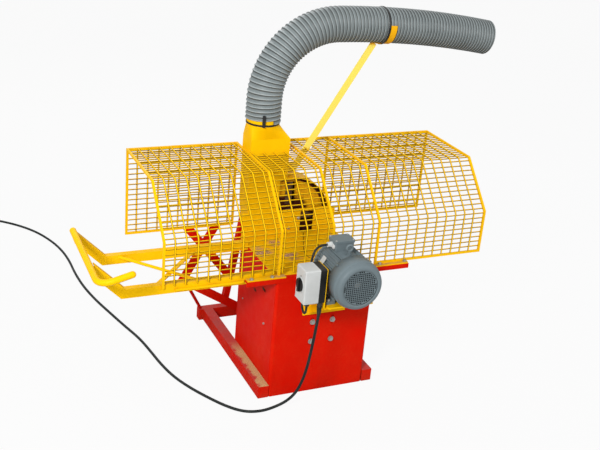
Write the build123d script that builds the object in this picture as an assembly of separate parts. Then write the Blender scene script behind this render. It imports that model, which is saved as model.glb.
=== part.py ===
"""Post peeling machine: a floor-standing knife disc with wire-mesh guards, an infeed table and a chip hose.

Millimetres, +Z up. The origin is on the floor, straight below the spindle, in the plane of the
knife casing's front plate. +X is the way a post travels, +Y points away from the operator.
"""

import math
import os

from build123d import *

os.makedirs("parts", exist_ok=True)

# Spindle and knife casing
AXIS_Z = 680.0
SHEET = 4.0
CASING_R = 205.0
CASING_DEPTH = 105.0
DISC_R = 196.0
DISC_T = 14.0
DISC_GAP = 26.0
SPINDLE_R = 20.0
RUNNING = 0.05
HUB_R = 48.0
HUB_LEN = 30.0
KNIFE_COUNT = 4
KNIFE_LEN = 110.0
KNIFE_W = 36.0
KNIFE_PROUD = 4.0
KNIFE_SEAT = 5.0
THROAT_W = 16.0
PADDLE_LEN = 100.0
PADDLE_DEPTH = 42.0
PADDLE_T = 6.0
BEARING_R = 50.0
BEARING_T = 26.0
BEARING_BOSS_R = 36.0
BEARING_BASE_T = 12.0
FRONT_BEARING_R = 44.0
FRONT_BEARING_T = 20.0
SHAFT_HOLE_CLEAR = 4.0

# Belt drive: down from the motor, through the cabinet on a lay shaft, and up to the spindle's rear end
LAY_SHAFT_Z = 330.0
LAY_SHAFT_R = 15.0
LAY_PLATE_T = 6.0
LAY_PLATE_H = 110.0
LAY_PLATE_GAP = 12.0
PULLEY_R = 36.0
PULLEY_W = 20.0
PULLEY_GAP = 1.0
BELT_W = 13.0
BELT_T = 9.0
BELT_PLAY = 0.3
BELT_SETBACK = 12.0
BELT_ROOM = 6.0
COVER_T = 3.0
COVER_ROOM = 8.0
REAR_COVER_ROOM = 5.0

# Front plate of the casing: post rest, window and open upper quarter
FRONT_HALF_W = 240.0
REST_Z = 728.0
REST_RAMP = 40.0
FRONT_SKIRT = 44.0
WINDOW_X0 = 58.0
WINDOW_W = 69.0
WINDOW_BAR = 14.0
OPENING_X0 = -62.0

# Chip duct, collar and hose
DUCT_LEFT_X = -221.0
DUCT_RIGHT_X = -27.0
DUCT_FLARE = 90.0
DUCT_TOP_Z = 1086.0
COLLAR_X = -150.0
COLLAR_R = 75.0
COLLAR_T = 2.0
COLLAR_RISE = 64.0
COLLAR_LEN = 70.0
HOSE_LIFT = 25.0
HOSE_BORE_R = 75.4
HOSE_ROOT_R = 78.0
HOSE_CREST_R = 82.5
HOSE_RISE = 87.0
HOSE_BEND_R = 340.0
HOSE_RUN_R = 4600.0
HOSE_RUN_DEG = 10.1
HOSE_CUFF = 12.0
HOSE_RIBS = 72
CLAMP_T = 3.0
CLAMP_W = 8.0
CLIP_LEN = 56.0
CLIP_T = 5.0
CLIP_GAP = 0.8
CLIP_TURN = -19.0
TIE_W = 8.0
TIE_T = 2.5
TIE_DEG = 2.74
TIE_GAP = 0.3
SADDLE_T = 4.0
SADDLE_W = 34.0
HOOK_W = 30.0
HOOK_AHEAD = 24.0
HOOK_RISE = 14.0
STRUT_BEHIND = 24.0
STRUT_W = 32.0
STRUT_T = 6.0
STRUT_FOOT_X = 18.0
STRUT_FOOT_Z = 908.0

# Base cabinet
BASE_HALF_W = 240.0
BASE_DEPTH = 444.0
FOLD_R = 12.0
SILL_HALF_W = 20.0
DECK_Z = 604.0
FOOT_W = 50.0
FOOT_H = 60.0
FOOT_REAR_Y = 330.0
TUBE_WALL = 4.0
REAR_TUBE_W = 40.0
REAR_TUBE_OVER = 22.0
BEAM_LEFT = 385.0
BEAM_RIGHT = 415.0
BEAM_H = 22.0
BEAM_LEDGE = 28.0

# Guard tunnel: five bent frames carry flat welded mesh
FRAME_BAR = 10.0
GUARD_FAR_Y = 165.0
GUARD_RIDGE_Y = -232.0
GUARD_NEAR_Y = -422.0
GUARD_TOP_Z = 1020.0
GUARD_KNEE_Z = 818.0
FRAME_LEFT_X = -749.0
FRAME_INLET_X = -226.0
FRAME_MIDDLE_X = 23.0
FRAME_OUTLET_X = 251.0
FRAME_RIGHT_X = 810.0
WIRE = 5.0
MESH_PITCH_X = 50.0
MESH_PITCH_S = 25.0
FLAT_T = 6.0
FLAT_LEFT = (-380.0, -200.0)
FLAT_RIGHT = (244.0, 413.0)
NEAR_BAR_X = -700.0

# Stays that hold the guard from the rear of the feet
STAY_W = 42.0
STAY_T = 8.0
STAY_POST_W = 30.0
STAY_LEFT_FOOT = (-234.0, 185.0)
STAY_LEFT_HEAD = (-158.0, 650.0)
STAY_FOOT_X = 265.0
STAY_HEAD_RIGHT = 246.0
STAY_ARM_Z = 313.0
STAY_ARM_HEAD_X = -448.0
STAY_TIE_HEAD_X = -301.0
STAY_TIE_FOOT = (-472.0, 312.0)
STAY_BRACE_HEAD = (-472.0, 335.0)
STAY_BRACE_END = (-150.0, 133.0)
STAY_ROD_HEAD = (-456.0, 332.0)
STANDOFF_W = 28.0
STAY_ROD_R = 8.0

# Infeed table
RAIL_H = 42.0
RAIL_T = 5.0
RAIL_FLANGE = 30.0
RAIL_BOTTOM_Z = 583.0
RAIL_FAR_Y = -88.0
RAIL_KINK_X = -906.0
RAIL_END_X = -1032.0
RAIL_END_Z = 749.0
RAIL_END_CUT = 14.0
CRADLE_R = 14.0
CRADLE_BEND_R = 60.0
CRADLE_FAR_Y = -70.0
CRADLE_NEAR_Y = -590.0
CRADLE_FAR_DROP = 6.0
CRADLE_NEAR_DROP = 22.0
CRADLE_TIP_X = -926.0
CRADLE_TIP_RISE = 35.0
BRACE_R = 7.0
BRACE_W = 20.0
BRACE_T = 5.0
BRACE_ROD_X = (-842.0, -560.0)
BRACE_FLAT_X = (-510.0, -798.0)

# Motor
MOTOR_FACE_GAP = 22.0
MOTOR_HEIGHT = 112.0
SHIELD_LEN = 34.0
FRAME_LEN = 160.0
MOTOR_R = 96.0
MOTOR_WALL = 16.0
FIN_COUNT = 32
FIN_H = 12.0
FIN_T = 4.0
FAN_SHIELD_LEN = 22.0
FAN_COVER_R = 110.0
FAN_COVER_LEN = 92.0
FAN_COVER_WALL = 2.5
FAN_R = 88.0
FAN_BLADES = 7
GRILLE_R = 82.0
GRILLE_PITCH = 18.0
GRILLE_HOLE = 13.0
MOTOR_SHAFT_R = 19.0
SHAFT_STUB_R = 14.0
ROTOR_R = 62.0
FOOT_SPAN = 178.0
FOOT_PITCH = 140.0
FOOT_PAD = 30.0
FOOT_T = 14.0
TERMINAL_W = 90.0
TERMINAL_D = 68.0
TERMINAL_H = 34.0
TERMINAL_LID = 10.0
EYE_PAD = 5.0
EYE_PAD_R = 13.0

# Motor bracket on the front panel
BRACKET_MARGIN = 1.0
BRACKET_T = 8.0
BRACKET_DROP = 160.0
BRACKET_REACH = 238.0
GUSSET_X = 72.0
SLIDE_T = 6.0
SLIDE_HALF_W = 84.0
SLIDE_BOTTOM_Z = 226.0
BOLT_X = 50.0
BOLT_Z = (264.0, 364.0)
FLANGE_BOLT_Z = 470.0
BOLT_R = 6.0
SLOT_LEN = 46.0
WASHER_R = 13.0
WASHER_T = 2.5
BOLT_HEAD_R = 10.5
BOLT_HEAD_T = 7.5

# Rotary switch
SWITCH_GAP = 14.0
SWITCH_PLATE_T = 3.0
SWITCH_Y = (-678.0, -586.0)
SWITCH_Z = (588.0, 744.0)
SWITCH_BASE_T = 30.0
SWITCH_COVER_T = 68.0
SWITCH_ROUND = 7.0
SWITCH_WALL = 3.0
KNOB_R = 29.0
KNOB_LEN = 13.0
KNOB_SKIRT = 7.0
KNOB_BAR_W = 14.0
KNOB_SPINDLE_R = 6.0
GLAND_R = 13.0
GLAND_LEN = 22.0

# Cables
CORD_R = 6.5
CABLE_R = 5.0
CORD_SIDES = 8
FLOOR_LIFT = 0.2
CORD_GLAND = (-137.0, -664.0)
CABLE_GLAND = (-186.0, -640.0)
CABLE_POINTS = [
    (-96.0, -546.0, 794.28),
    (-124.0, -549.0, 779.0),
    (-139.0, -557.0, 742.0),
    (-148.0, -564.0, 694.0),
    (-157.0, -567.0, 642.0),
    (-166.0, -568.0, 589.0),
    (-174.0, -569.5, 537.0),
    (-178.0, -590.0, 516.0),
    (-183.0, -620.0, 516.0),
    (-186.0, -640.0, 537.0),
]
CORD_POINTS = [
    (-137.0, -664.0, 520.0),
    (-143.0, -660.0, 440.0),
    (-149.0, -651.0, 340.0),
    (-155.0, -630.0, 220.0),
    (-166.0, -592.0, 112.0),
    (-192.0, -553.0, 40.0),
    (-246.0, -538.0, 6.7),
    (-320.0, -552.0, 6.7),
    (-394.0, -532.0, 6.7),
    (-455.0, -466.0, 6.7),
    (-510.0, -375.0, 6.7),
    (-562.0, -275.0, 6.7),
    (-604.0, -165.0, 6.7),
    (-628.0, -45.0, 6.7),
    (-642.0, 85.0, 6.7),
    (-660.0, 220.0, 6.7),
    (-698.0, 360.0, 6.7),
    (-734.0, 510.0, 6.7),
    (-772.0, 670.0, 6.7),
    (-799.0, 840.0, 6.7),
    (-808.0, 1010.0, 6.7),
    (-804.0, 1180.0, 6.7),
    (-818.0, 1340.0, 6.7),
    (-856.0, 1490.0, 6.7),
    (-916.0, 1630.0, 6.7),
    (-1000.0, 1745.0, 6.7),
    (-1092.0, 1830.0, 6.7),
    (-1190.0, 1905.0, 6.7),
]
COIL_R = 84.0
COIL_STEP = 14.2
COIL_LAYER = 13.8
COIL_HALF_TURNS = 3
COIL_TAIL = 45.0
PLUG_R = 19.8
PLUG_LEN = 62.0
PLUG_PIN_R = 2.4
PLUG_PIN_LEN = 19.0
PLUG_PIN_GAP = 19.0

# Places that follow from the sizes above
CASING_OUT_R = CASING_R + SHEET
CASING_BACK_Y = CASING_DEPTH
DUCT_MID_Y = (SHEET + CASING_DEPTH) / 2
DISC_FRONT_Y = SHEET + DISC_GAP
DISC_BACK_Y = DISC_FRONT_Y + DISC_T
FRONT_Y = -BASE_DEPTH
BEAM_Y = FRONT_Y - SHEET
FLAT_TOP_Z = DECK_Z + FLAT_T
MOTOR_FACE_Y = BEAM_Y - MOTOR_FACE_GAP
FRAME_FACE_Y = MOTOR_FACE_Y - SHIELD_LEN
FRAME_BACK_Y = FRAME_FACE_Y - FRAME_LEN
FAN_SHIELD_Y = FRAME_BACK_Y - FAN_SHIELD_LEN
FAN_END_Y = FRAME_BACK_Y - FAN_COVER_LEN
SHELF_Z = AXIS_Z - MOTOR_HEIGHT
BRACKET_HALF_W = (FOOT_SPAN + FOOT_PAD) / 2 + BRACKET_MARGIN
SWITCH_PLATE_X = -BRACKET_HALF_W - SWITCH_GAP - SWITCH_PLATE_T
COLLAR_BASE_Z = DUCT_TOP_Z + COLLAR_RISE
HOSE_START_Z = COLLAR_BASE_Z + HOSE_LIFT
SLIDE_Y = FRONT_Y + SHEET
DECK_FRONT_Y = FRONT_Y + BEAM_LEDGE - SHEET
FRONT_BELT_Y = DECK_FRONT_Y + BELT_SETBACK
STUB_END_Y = FRONT_BELT_Y + PULLEY_W / 2
RAIL_TOP_Z = RAIL_BOTTOM_Z + RAIL_H
RAIL_NEAR_Y = GUARD_NEAR_Y + FRAME_BAR / 2 + RAIL_T / 2
REAR_BELT_Y = CASING_BACK_Y + BEARING_T + PULLEY_GAP + PULLEY_W / 2
SPINDLE_BACK_Y = REAR_BELT_Y + PULLEY_W / 2
COVER_HALF_W = PULLEY_R + COVER_ROOM + COVER_T
COVER_TOP_Z = AXIS_Z + PULLEY_R + COVER_ROOM + COVER_T
LAY_PLATE_Y = STUB_END_Y + LAY_PLATE_GAP


def block(x, y, z):
    """A box between the two values of each axis."""
    size = Box(x[1] - x[0], y[1] - y[0], z[1] - z[0])
    return Pos((x[0] + x[1]) / 2, (y[0] + y[1]) / 2, (z[0] + z[1]) / 2) * size


def along_x(sketch, x0, x1):
    """Extrude a Y-Z sketch from x0 to x1."""
    return extrude(Plane.YZ.offset(x0) * sketch, amount=x1 - x0)


def along_y(sketch, y0, y1):
    """Extrude an X-Z sketch from y0 to y1."""
    return extrude(Plane.XZ.offset(-y1) * sketch, amount=y1 - y0)


def disc_y(x, z, radius, y0, y1):
    """A round bar along Y."""
    return along_y(Pos(x, z) * Circle(radius), y0, y1)


def rect(x0, x1, z0, z1):
    """A rectangle between two corners of a sketch."""
    return Pos((x0 + x1) / 2, (z0 + z1) / 2) * Rectangle(x1 - x0, z1 - z0)


def polygon(*points):
    """A closed face through sketch points."""
    return make_face(Polyline(*points, close=True))


def round_bar(start, end, radius):
    """A straight round bar between two points."""
    a = Vector(*start)
    direction = Vector(*end) - a
    return extrude(Plane(origin=a, z_dir=direction) * Circle(radius), amount=direction.length)


def flat_bar(start, end, width, thickness, face_dir):
    """A straight flat bar between two points whose wide face looks along face_dir."""
    a = Vector(*start)
    direction = Vector(*end) - a
    plane = Plane(origin=a, x_dir=Vector(*face_dir), z_dir=direction)
    return extrude(plane * Rectangle(thickness, width), amount=direction.length)


def ring_y(outer, inner, y0, y1, z=AXIS_Z):
    """A round tube along Y, on the spindle's axis or at another height."""
    return along_y(Pos(0, z) * (Circle(outer) - Circle(inner)), y0, y1)


def turned(shape, degrees):
    """A shape turned about the spindle's axis."""
    axis = Axis((0, 0, AXIS_Z), (0, 1, 0))
    return shape.rotate(axis, degrees)


def write(name, *solids):
    """Write one node, made of one or more separate solids."""
    shape = solids[0] if len(solids) == 1 else Compound(children=list(solids))
    export_step(shape, f"parts/{name}.step")


# Base cabinet


def foot(side):
    """A square tube on the floor, closed at both ends."""
    x = sorted((side * BASE_HALF_W, side * (BASE_HALF_W + FOOT_W)))
    tube = block(x, (FRONT_Y, FOOT_REAR_Y), (0, FOOT_H))
    hollow = block(
        (x[0] + TUBE_WALL, x[1] - TUBE_WALL),
        (FRONT_Y + TUBE_WALL, FOOT_REAR_Y - TUBE_WALL),
        (TUBE_WALL, FOOT_H - TUBE_WALL),
    )
    return tube - hollow


def base_shell():
    """Folded cabinet on a rear sill; the front's slots let the motor be set in height."""
    top = DECK_Z - SHEET
    wall_z = (0, top)
    outer = block((-BASE_HALF_W, BASE_HALF_W), (FRONT_Y, 0), wall_z)
    inner = block(
        (-BASE_HALF_W + SHEET, BASE_HALF_W - SHEET), (FRONT_Y + SHEET, -SHEET), (-1, top + 1)
    )
    outer = fillet(outer.edges().filter_by(Axis.Z).group_by(Axis.Y)[0], FOLD_R)
    inner = fillet(inner.edges().filter_by(Axis.Z).group_by(Axis.Y)[0], FOLD_R - SHEET)
    shell = outer - inner
    shell += block((-BASE_HALF_W, BASE_HALF_W), (-SILL_HALF_W, SILL_HALF_W), (0, SHEET))
    slot = SlotOverall(SLOT_LEN, 2 * BOLT_R + 2, rotation=90)
    for x in (-BOLT_X, BOLT_X):
        for z in (*BOLT_Z, FLANGE_BOLT_Z):
            shell -= along_y(Pos(x, z) * slot, FRONT_Y - 1, FRONT_Y + SHEET + 1)
    return shell - disc_y(0, LAY_SHAFT_Z, LAY_SHAFT_R + SHAFT_HOLE_CLEAR, -SHEET - 1, 1)


def deck():
    """Cabinet top, notched at its front edge for the belt."""
    plate = block((-BASE_HALF_W, BASE_HALF_W), (DECK_FRONT_Y, 0), (DECK_Z - SHEET, DECK_Z))
    half = PULLEY_R + BELT_ROOM
    notch_y = (DECK_FRONT_Y - 1, FRONT_BELT_Y + BELT_W)
    return plate - block((-half, half), notch_y, (DECK_Z - 2 * SHEET, DECK_Z + 1))


def front_beam():
    """Angle along the cabinet's top front edge; both ends reach out to carry the guards."""
    lip = block((-BEAM_LEFT, BEAM_RIGHT), (BEAM_Y, FRONT_Y), (DECK_Z - BEAM_H, DECK_Z))
    ledge = block((-BEAM_LEFT, BEAM_RIGHT), (FRONT_Y, DECK_FRONT_Y), (DECK_Z - SHEET, DECK_Z))
    return lip + ledge


def rear_tube():
    """Cross tube behind the feet, closed at both ends."""
    half = BASE_HALF_W + FOOT_W + REAR_TUBE_OVER
    y = (FOOT_REAR_Y, FOOT_REAR_Y + REAR_TUBE_W)
    tube_block = block((-half, half), y, (0, FOOT_H))
    hollow = block(
        (-half + TUBE_WALL, half - TUBE_WALL),
        (y[0] + TUBE_WALL, y[1] - TUBE_WALL),
        (TUBE_WALL, FOOT_H - TUBE_WALL),
    )
    return tube_block - hollow


# Knife casing, duct and hose


def casing_outline(radius, left, right):
    """Drum circle joined to the upright duct, seen along Y."""
    drum = Pos(0, AXIS_Z) * Circle(radius)
    return drum + polygon(
        (left, DUCT_TOP_Z),
        (right, DUCT_TOP_Z),
        (right, AXIS_Z),
        (-radius, AXIS_Z),
        (left, AXIS_Z + DUCT_FLARE),
    )


def casing_shell():
    """Drum, duct walls and back plate as one welded shell, open to the front plate."""
    outer = along_y(casing_outline(CASING_OUT_R, DUCT_LEFT_X, DUCT_RIGHT_X), SHEET, CASING_BACK_Y)
    inner_sketch = casing_outline(CASING_R, DUCT_LEFT_X + SHEET, DUCT_RIGHT_X - SHEET)
    cavity = along_y(inner_sketch, SHEET, CASING_BACK_Y - SHEET)
    top = block(
        (DUCT_LEFT_X + SHEET, DUCT_RIGHT_X - SHEET),
        (SHEET, CASING_BACK_Y - SHEET),
        (AXIS_Z + DUCT_FLARE, DUCT_TOP_Z + 1),
    )
    shaft_hole = disc_y(0, AXIS_Z, SPINDLE_R + SHAFT_HOLE_CLEAR, 0, CASING_BACK_Y + 1)
    return outer - cavity - top - shaft_hole


def casing_front():
    """Front plate: post rest along its lower half, window under the rest, open upper quarter."""
    lower = rect(-FRONT_HALF_W, FRONT_HALF_W, DECK_Z - FRONT_SKIRT, REST_Z)
    rest_ramp = polygon(
        (FRONT_HALF_W, REST_Z), (FRONT_HALF_W, REST_Z - WINDOW_BAR), (FRONT_HALF_W - REST_RAMP, REST_Z)
    )
    plate = casing_outline(CASING_OUT_R, DUCT_LEFT_X, DUCT_RIGHT_X) + lower - rest_ramp
    opening = Pos(0, AXIS_Z) * Circle(CASING_R)
    opening &= rect(OPENING_X0, CASING_R, REST_Z, AXIS_Z + CASING_R)
    window = rect(WINDOW_X0, WINDOW_X0 + WINDOW_W, DECK_Z, REST_Z - WINDOW_BAR)
    return along_y(plate - opening - window, 0, SHEET)


def duct_collar():
    """Square-to-round transition with the collar that the hose slides over."""

    def skin(inset, z_low, z_high):
        width = DUCT_RIGHT_X - DUCT_LEFT_X - 2 * inset
        mid_x = (DUCT_RIGHT_X + DUCT_LEFT_X) / 2
        low = Pos(mid_x, CASING_BACK_Y / 2, z_low) * Rectangle(width, CASING_BACK_Y - 2 * inset)
        high = Pos(COLLAR_X, CASING_BACK_Y / 2, z_high) * Circle(COLLAR_R - inset)
        return loft([low, high])

    transition = skin(0, DUCT_TOP_Z, COLLAR_BASE_Z) - skin(COLLAR_T, DUCT_TOP_Z, COLLAR_BASE_Z)
    tube_sketch = Pos(COLLAR_X, CASING_BACK_Y / 2, COLLAR_BASE_Z) * (
        Circle(COLLAR_R) - Circle(COLLAR_R - COLLAR_T)
    )
    return transition + extrude(tube_sketch, amount=COLLAR_LEN)


def hose_frame(distance):
    """Position and direction of the hose's centreline at a distance from its lower end."""
    bend_len = HOSE_BEND_R * math.pi / 2
    y = CASING_BACK_Y / 2
    bend_z = HOSE_START_Z + HOSE_RISE
    if distance <= HOSE_RISE:
        return Vector(COLLAR_X, y, HOSE_START_Z + distance), Vector(0, 0, 1)
    if distance <= HOSE_RISE + bend_len:
        angle = (distance - HOSE_RISE) / HOSE_BEND_R
        x = COLLAR_X + HOSE_BEND_R * (1 - math.cos(angle))
        z = bend_z + HOSE_BEND_R * math.sin(angle)
        return Vector(x, y, z), Vector(math.sin(angle), 0, math.cos(angle))
    angle = (distance - HOSE_RISE - bend_len) / HOSE_RUN_R
    x = COLLAR_X + HOSE_BEND_R + HOSE_RUN_R * math.sin(angle)
    z = bend_z + HOSE_BEND_R - HOSE_RUN_R * (1 - math.cos(angle))
    return Vector(x, y, z), Vector(math.cos(angle), 0, -math.sin(angle))


def hose_length():
    """Length of the hose along its centreline."""
    return HOSE_RISE + HOSE_BEND_R * math.pi / 2 + HOSE_RUN_R * math.radians(HOSE_RUN_DEG)


def hose_ring(distance, radius):
    """A circle square to the hose's centreline."""
    origin, direction = hose_frame(distance)
    return Plane(origin=origin, x_dir=(0, 1, 0), z_dir=direction) * Circle(radius)


def hose():
    """Ribbed chip hose: straight cuffs at both ends and a run of ribs over an open bore."""
    pitch = (hose_length() - 2 * HOSE_CUFF) / HOSE_RIBS
    rings = [hose_ring(0, HOSE_ROOT_R)]
    for rib in range(HOSE_RIBS):
        start = HOSE_CUFF + rib * pitch
        rings.append(hose_ring(start, HOSE_ROOT_R))
        rings.append(hose_ring(start + pitch / 2, HOSE_CREST_R))
    rings.append(hose_ring(hose_length() - HOSE_CUFF, HOSE_ROOT_R))
    rings.append(hose_ring(hose_length(), HOSE_ROOT_R))
    skin = loft(rings, ruled=True)
    start, _ = hose_frame(0)
    bend_start, _ = hose_frame(HOSE_RISE)
    path = Line(start, bend_start)
    half, _ = hose_frame(HOSE_RISE + HOSE_BEND_R * math.pi / 4)
    bend_end, _ = hose_frame(HOSE_RISE + HOSE_BEND_R * math.pi / 2)
    path += ThreePointArc(bend_start, half, bend_end)
    run_half, _ = hose_frame(hose_length() - HOSE_RUN_R * math.radians(HOSE_RUN_DEG) / 2)
    run_end, _ = hose_frame(hose_length())
    path += ThreePointArc(bend_end, run_half, run_end)
    bore = sweep(hose_ring(0, HOSE_BORE_R), path=path)
    return skin - bore


def hose_clamp():
    """Thin band on the collar with an upright clip that reaches over the hose's end."""
    centre = Pos(COLLAR_X, CASING_BACK_Y / 2, COLLAR_BASE_Z + CLAMP_W / 2)
    band = extrude(centre * (Circle(COLLAR_R + CLAMP_T) - Circle(COLLAR_R)), amount=CLAMP_W)
    clip_y = (-HOSE_CREST_R - CLIP_GAP - CLIP_T, -HOSE_CREST_R - CLIP_GAP)
    clip = block((-CLAMP_W / 2, CLAMP_W / 2), clip_y, (0, CLIP_LEN))
    foot = block((-CLAMP_W / 2, CLAMP_W / 2), (clip_y[0], -COLLAR_R - CLAMP_T / 2), (0, CLAMP_W))
    return band + centre * Rot(0, 0, CLIP_TURN) * (clip + foot)


def tie_distance():
    """Where the cable tie sits along the hose."""
    return HOSE_RISE + HOSE_BEND_R * math.pi / 2 + HOSE_RUN_R * math.radians(TIE_DEG)


def hose_band(middle, width, inner, thickness, drop=0.0):
    """A round band on the hose; drop shifts it towards the hose's underside."""
    origin, direction = hose_frame(middle)
    start = origin - direction * (width / 2) + hose_down(middle) * drop
    plane = Plane(origin=start, x_dir=(0, 1, 0), z_dir=direction)
    return extrude(plane * (Circle(inner + thickness) - Circle(inner)), amount=width)


def hose_down(distance):
    """The way square to the hose's centreline that points most to the floor."""
    _, direction = hose_frame(distance)
    return Vector(direction.Z, 0, -direction.X)


def hose_tie():
    """Cable tie that holds the hose down on the strut's saddle."""
    inner = HOSE_CREST_R + SADDLE_T / 2 + 1.5 * TIE_GAP
    return hose_band(tie_distance(), TIE_W, inner, TIE_T, SADDLE_T / 2 + TIE_GAP)


def strut_head():
    """Upper end of the strut, in the saddle's thickness."""
    distance = tie_distance() - STRUT_BEHIND
    origin, _ = hose_frame(distance)
    return origin + hose_down(distance) * (HOSE_CREST_R + SADDLE_T)


def strut_x(z):
    """X of the strut's middle line at a height."""
    head = strut_head()
    return STRUT_FOOT_X + (head.X - STRUT_FOOT_X) * (z - STRUT_FOOT_Z) / (head.Z - STRUT_FOOT_Z)


def saddle():
    """Strip along the hose's underside that ends in a hook up both of its sides."""
    low = tie_distance() - STRUT_BEHIND - STRUT_W / 2
    high = tie_distance() + HOOK_AHEAD + HOOK_W / 2
    middle = (low + high) / 2
    ring = hose_band(middle, high - low, HOSE_CREST_R + TIE_GAP, SADDLE_T)
    origin, _ = hose_frame(middle)
    under = Plane(origin=origin, x_dir=(0, 1, 0), z_dir=hose_down(middle))
    reach = 2 * HOSE_CREST_R
    strip = extrude(under * Rectangle(SADDLE_W, 2 * reach), amount=reach)
    hook_place = Pos(0, (high - low - HOOK_W) / 2)
    hook = extrude(under.offset(-HOOK_RISE) * hook_place * Rectangle(2 * reach, HOOK_W), amount=reach)
    return ring & (strip + hook)


def hose_strut():
    """Flat strut from a tab on the duct up to the saddle under the hose."""
    head = strut_head()
    y = CASING_BACK_Y / 2
    foot_point = (STRUT_FOOT_X, y, STRUT_FOOT_Z)
    leg = flat_bar(foot_point, (head.X, y, head.Z), STRUT_W, STRUT_T, (0, 1, 0))
    tab_z = AXIS_Z + CASING_OUT_R + STRUT_T
    tab = block(
        (DUCT_RIGHT_X, STRUT_FOOT_X + STRUT_W / 2),
        (y + STRUT_T / 2, y + 1.5 * STRUT_T),
        (tab_z, tab_z + 1.5 * STRUT_W),
    )
    origin, direction = hose_frame(tie_distance())
    hose_room = Plane(origin=origin - direction * 2 * STRUT_W, x_dir=(0, 1, 0), z_dir=direction)
    leg -= extrude(hose_room * Circle(HOSE_CREST_R + SADDLE_T / 2), amount=4 * STRUT_W)
    return leg + tab + saddle()


# Spindle


def knife_pocket(depth):
    """A tangential pocket in the disc's face, before it is turned to its place."""
    x_mid = DISC_R - KNIFE_LEN / 2 - KNIFE_W / 2
    y = (DISC_FRONT_Y - KNIFE_PROUD, DISC_FRONT_Y + depth)
    return block(
        (x_mid - KNIFE_LEN / 2, x_mid + KNIFE_LEN / 2), y, (AXIS_Z - KNIFE_W / 2, AXIS_Z + KNIFE_W / 2)
    )


def knife_throat():
    """Slot through the disc for the chips of one knife, before it is moved to the knife's edge."""
    x_mid = DISC_R - KNIFE_LEN / 2 - KNIFE_W / 2
    x = (x_mid - KNIFE_LEN / 2, x_mid + KNIFE_LEN / 2)
    return block(x, (DISC_FRONT_Y - 1, DISC_BACK_Y + 1), (AXIS_Z - THROAT_W / 2, AXIS_Z + THROAT_W / 2))


def cutter_disc():
    """Knife disc with its hub, a chip throat at each knife's edge and the paddles on its back."""
    disc = ring_y(DISC_R, SPINDLE_R, DISC_FRONT_Y, DISC_BACK_Y)
    disc += ring_y(HUB_R, SPINDLE_R, DISC_BACK_Y, DISC_BACK_Y + HUB_LEN)
    paddle_x = (DISC_R - PADDLE_LEN, DISC_R - PADDLE_T)
    paddle = block(
        paddle_x,
        (DISC_BACK_Y, DISC_BACK_Y + PADDLE_DEPTH),
        (AXIS_Z - PADDLE_T / 2, AXIS_Z + PADDLE_T / 2),
    )
    pocket = knife_pocket(KNIFE_SEAT)
    throat = Pos(0, 0, -(KNIFE_W + THROAT_W) / 2) * knife_throat()
    for index in range(KNIFE_COUNT):
        angle = 360 / KNIFE_COUNT * index
        disc += turned(paddle, angle + 180 / KNIFE_COUNT)
        disc -= turned(pocket, angle)
        disc -= turned(throat, angle)
    return disc


def knives():
    """Knives with a bevelled cutting edge, seated in the disc's pockets."""
    knife = knife_pocket(KNIFE_SEAT)
    edge = [e for e in knife.edges().filter_by(Axis.X) if e.center().Y < DISC_FRONT_Y]
    edge = sorted(edge, key=lambda e: e.center().Z)[0]
    knife = chamfer(edge, KNIFE_PROUD * 0.9)
    return [turned(knife, 360 / KNIFE_COUNT * index) for index in range(KNIFE_COUNT)]


def spindle():
    """Knife shaft from the front plate to the rear pulley."""
    return disc_y(0, AXIS_Z, SPINDLE_R - RUNNING, SHEET, SPINDLE_BACK_Y)


def flange_bearing(z, bore, y_wall, side):
    """Round flange bearing: a base against the wall and a boss round the shaft."""
    base = sorted((y_wall, y_wall + side * BEARING_BASE_T))
    boss = sorted((y_wall, y_wall + side * BEARING_T))
    return ring_y(BEARING_R, bore, *base, z) + ring_y(BEARING_BOSS_R, bore, *boss, z)


def front_bearing():
    """Flat bearing on the inside of the casing's front plate."""
    return ring_y(FRONT_BEARING_R, SPINDLE_R, SHEET, SHEET + FRONT_BEARING_T)


# Belt drive


def pulley(z, y_mid, bore):
    """Pulley with one belt groove."""
    body = ring_y(PULLEY_R, bore, y_mid - PULLEY_W / 2, y_mid + PULLEY_W / 2, z)
    half = BELT_W / 2 + BELT_PLAY
    return body - ring_y(PULLEY_R + 1, PULLEY_R - BELT_T - BELT_PLAY, y_mid - half, y_mid + half, z)


def belt(y_mid):
    """Belt between a pulley on the spindle's height and one on the lay shaft."""

    def loop(radius):
        middle = (AXIS_Z + LAY_SHAFT_Z) / 2
        return Pos(0, middle) * SlotCenterToCenter(AXIS_Z - LAY_SHAFT_Z, 2 * radius, rotation=90)

    return along_y(loop(PULLEY_R) - loop(PULLEY_R - BELT_T), y_mid - BELT_W / 2, y_mid + BELT_W / 2)


def lay_shaft():
    """Shaft through the cabinet that joins the two belts."""
    return disc_y(0, LAY_SHAFT_Z, LAY_SHAFT_R - RUNNING, FRONT_BELT_Y - PULLEY_W / 2, SPINDLE_BACK_Y)


def lay_plate():
    """Upright plate across the cabinet for the lay shaft's front bearing."""
    half = BASE_HALF_W - SHEET
    z = (LAY_SHAFT_Z - LAY_PLATE_H / 2, LAY_SHAFT_Z + LAY_PLATE_H / 2)
    y = (LAY_PLATE_Y, LAY_PLATE_Y + LAY_PLATE_T)
    hole = disc_y(0, LAY_SHAFT_Z, LAY_SHAFT_R + SHAFT_HOLE_CLEAR, y[0] - 1, y[1] + 1)
    return block((-half, half), y, z) - hole


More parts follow.
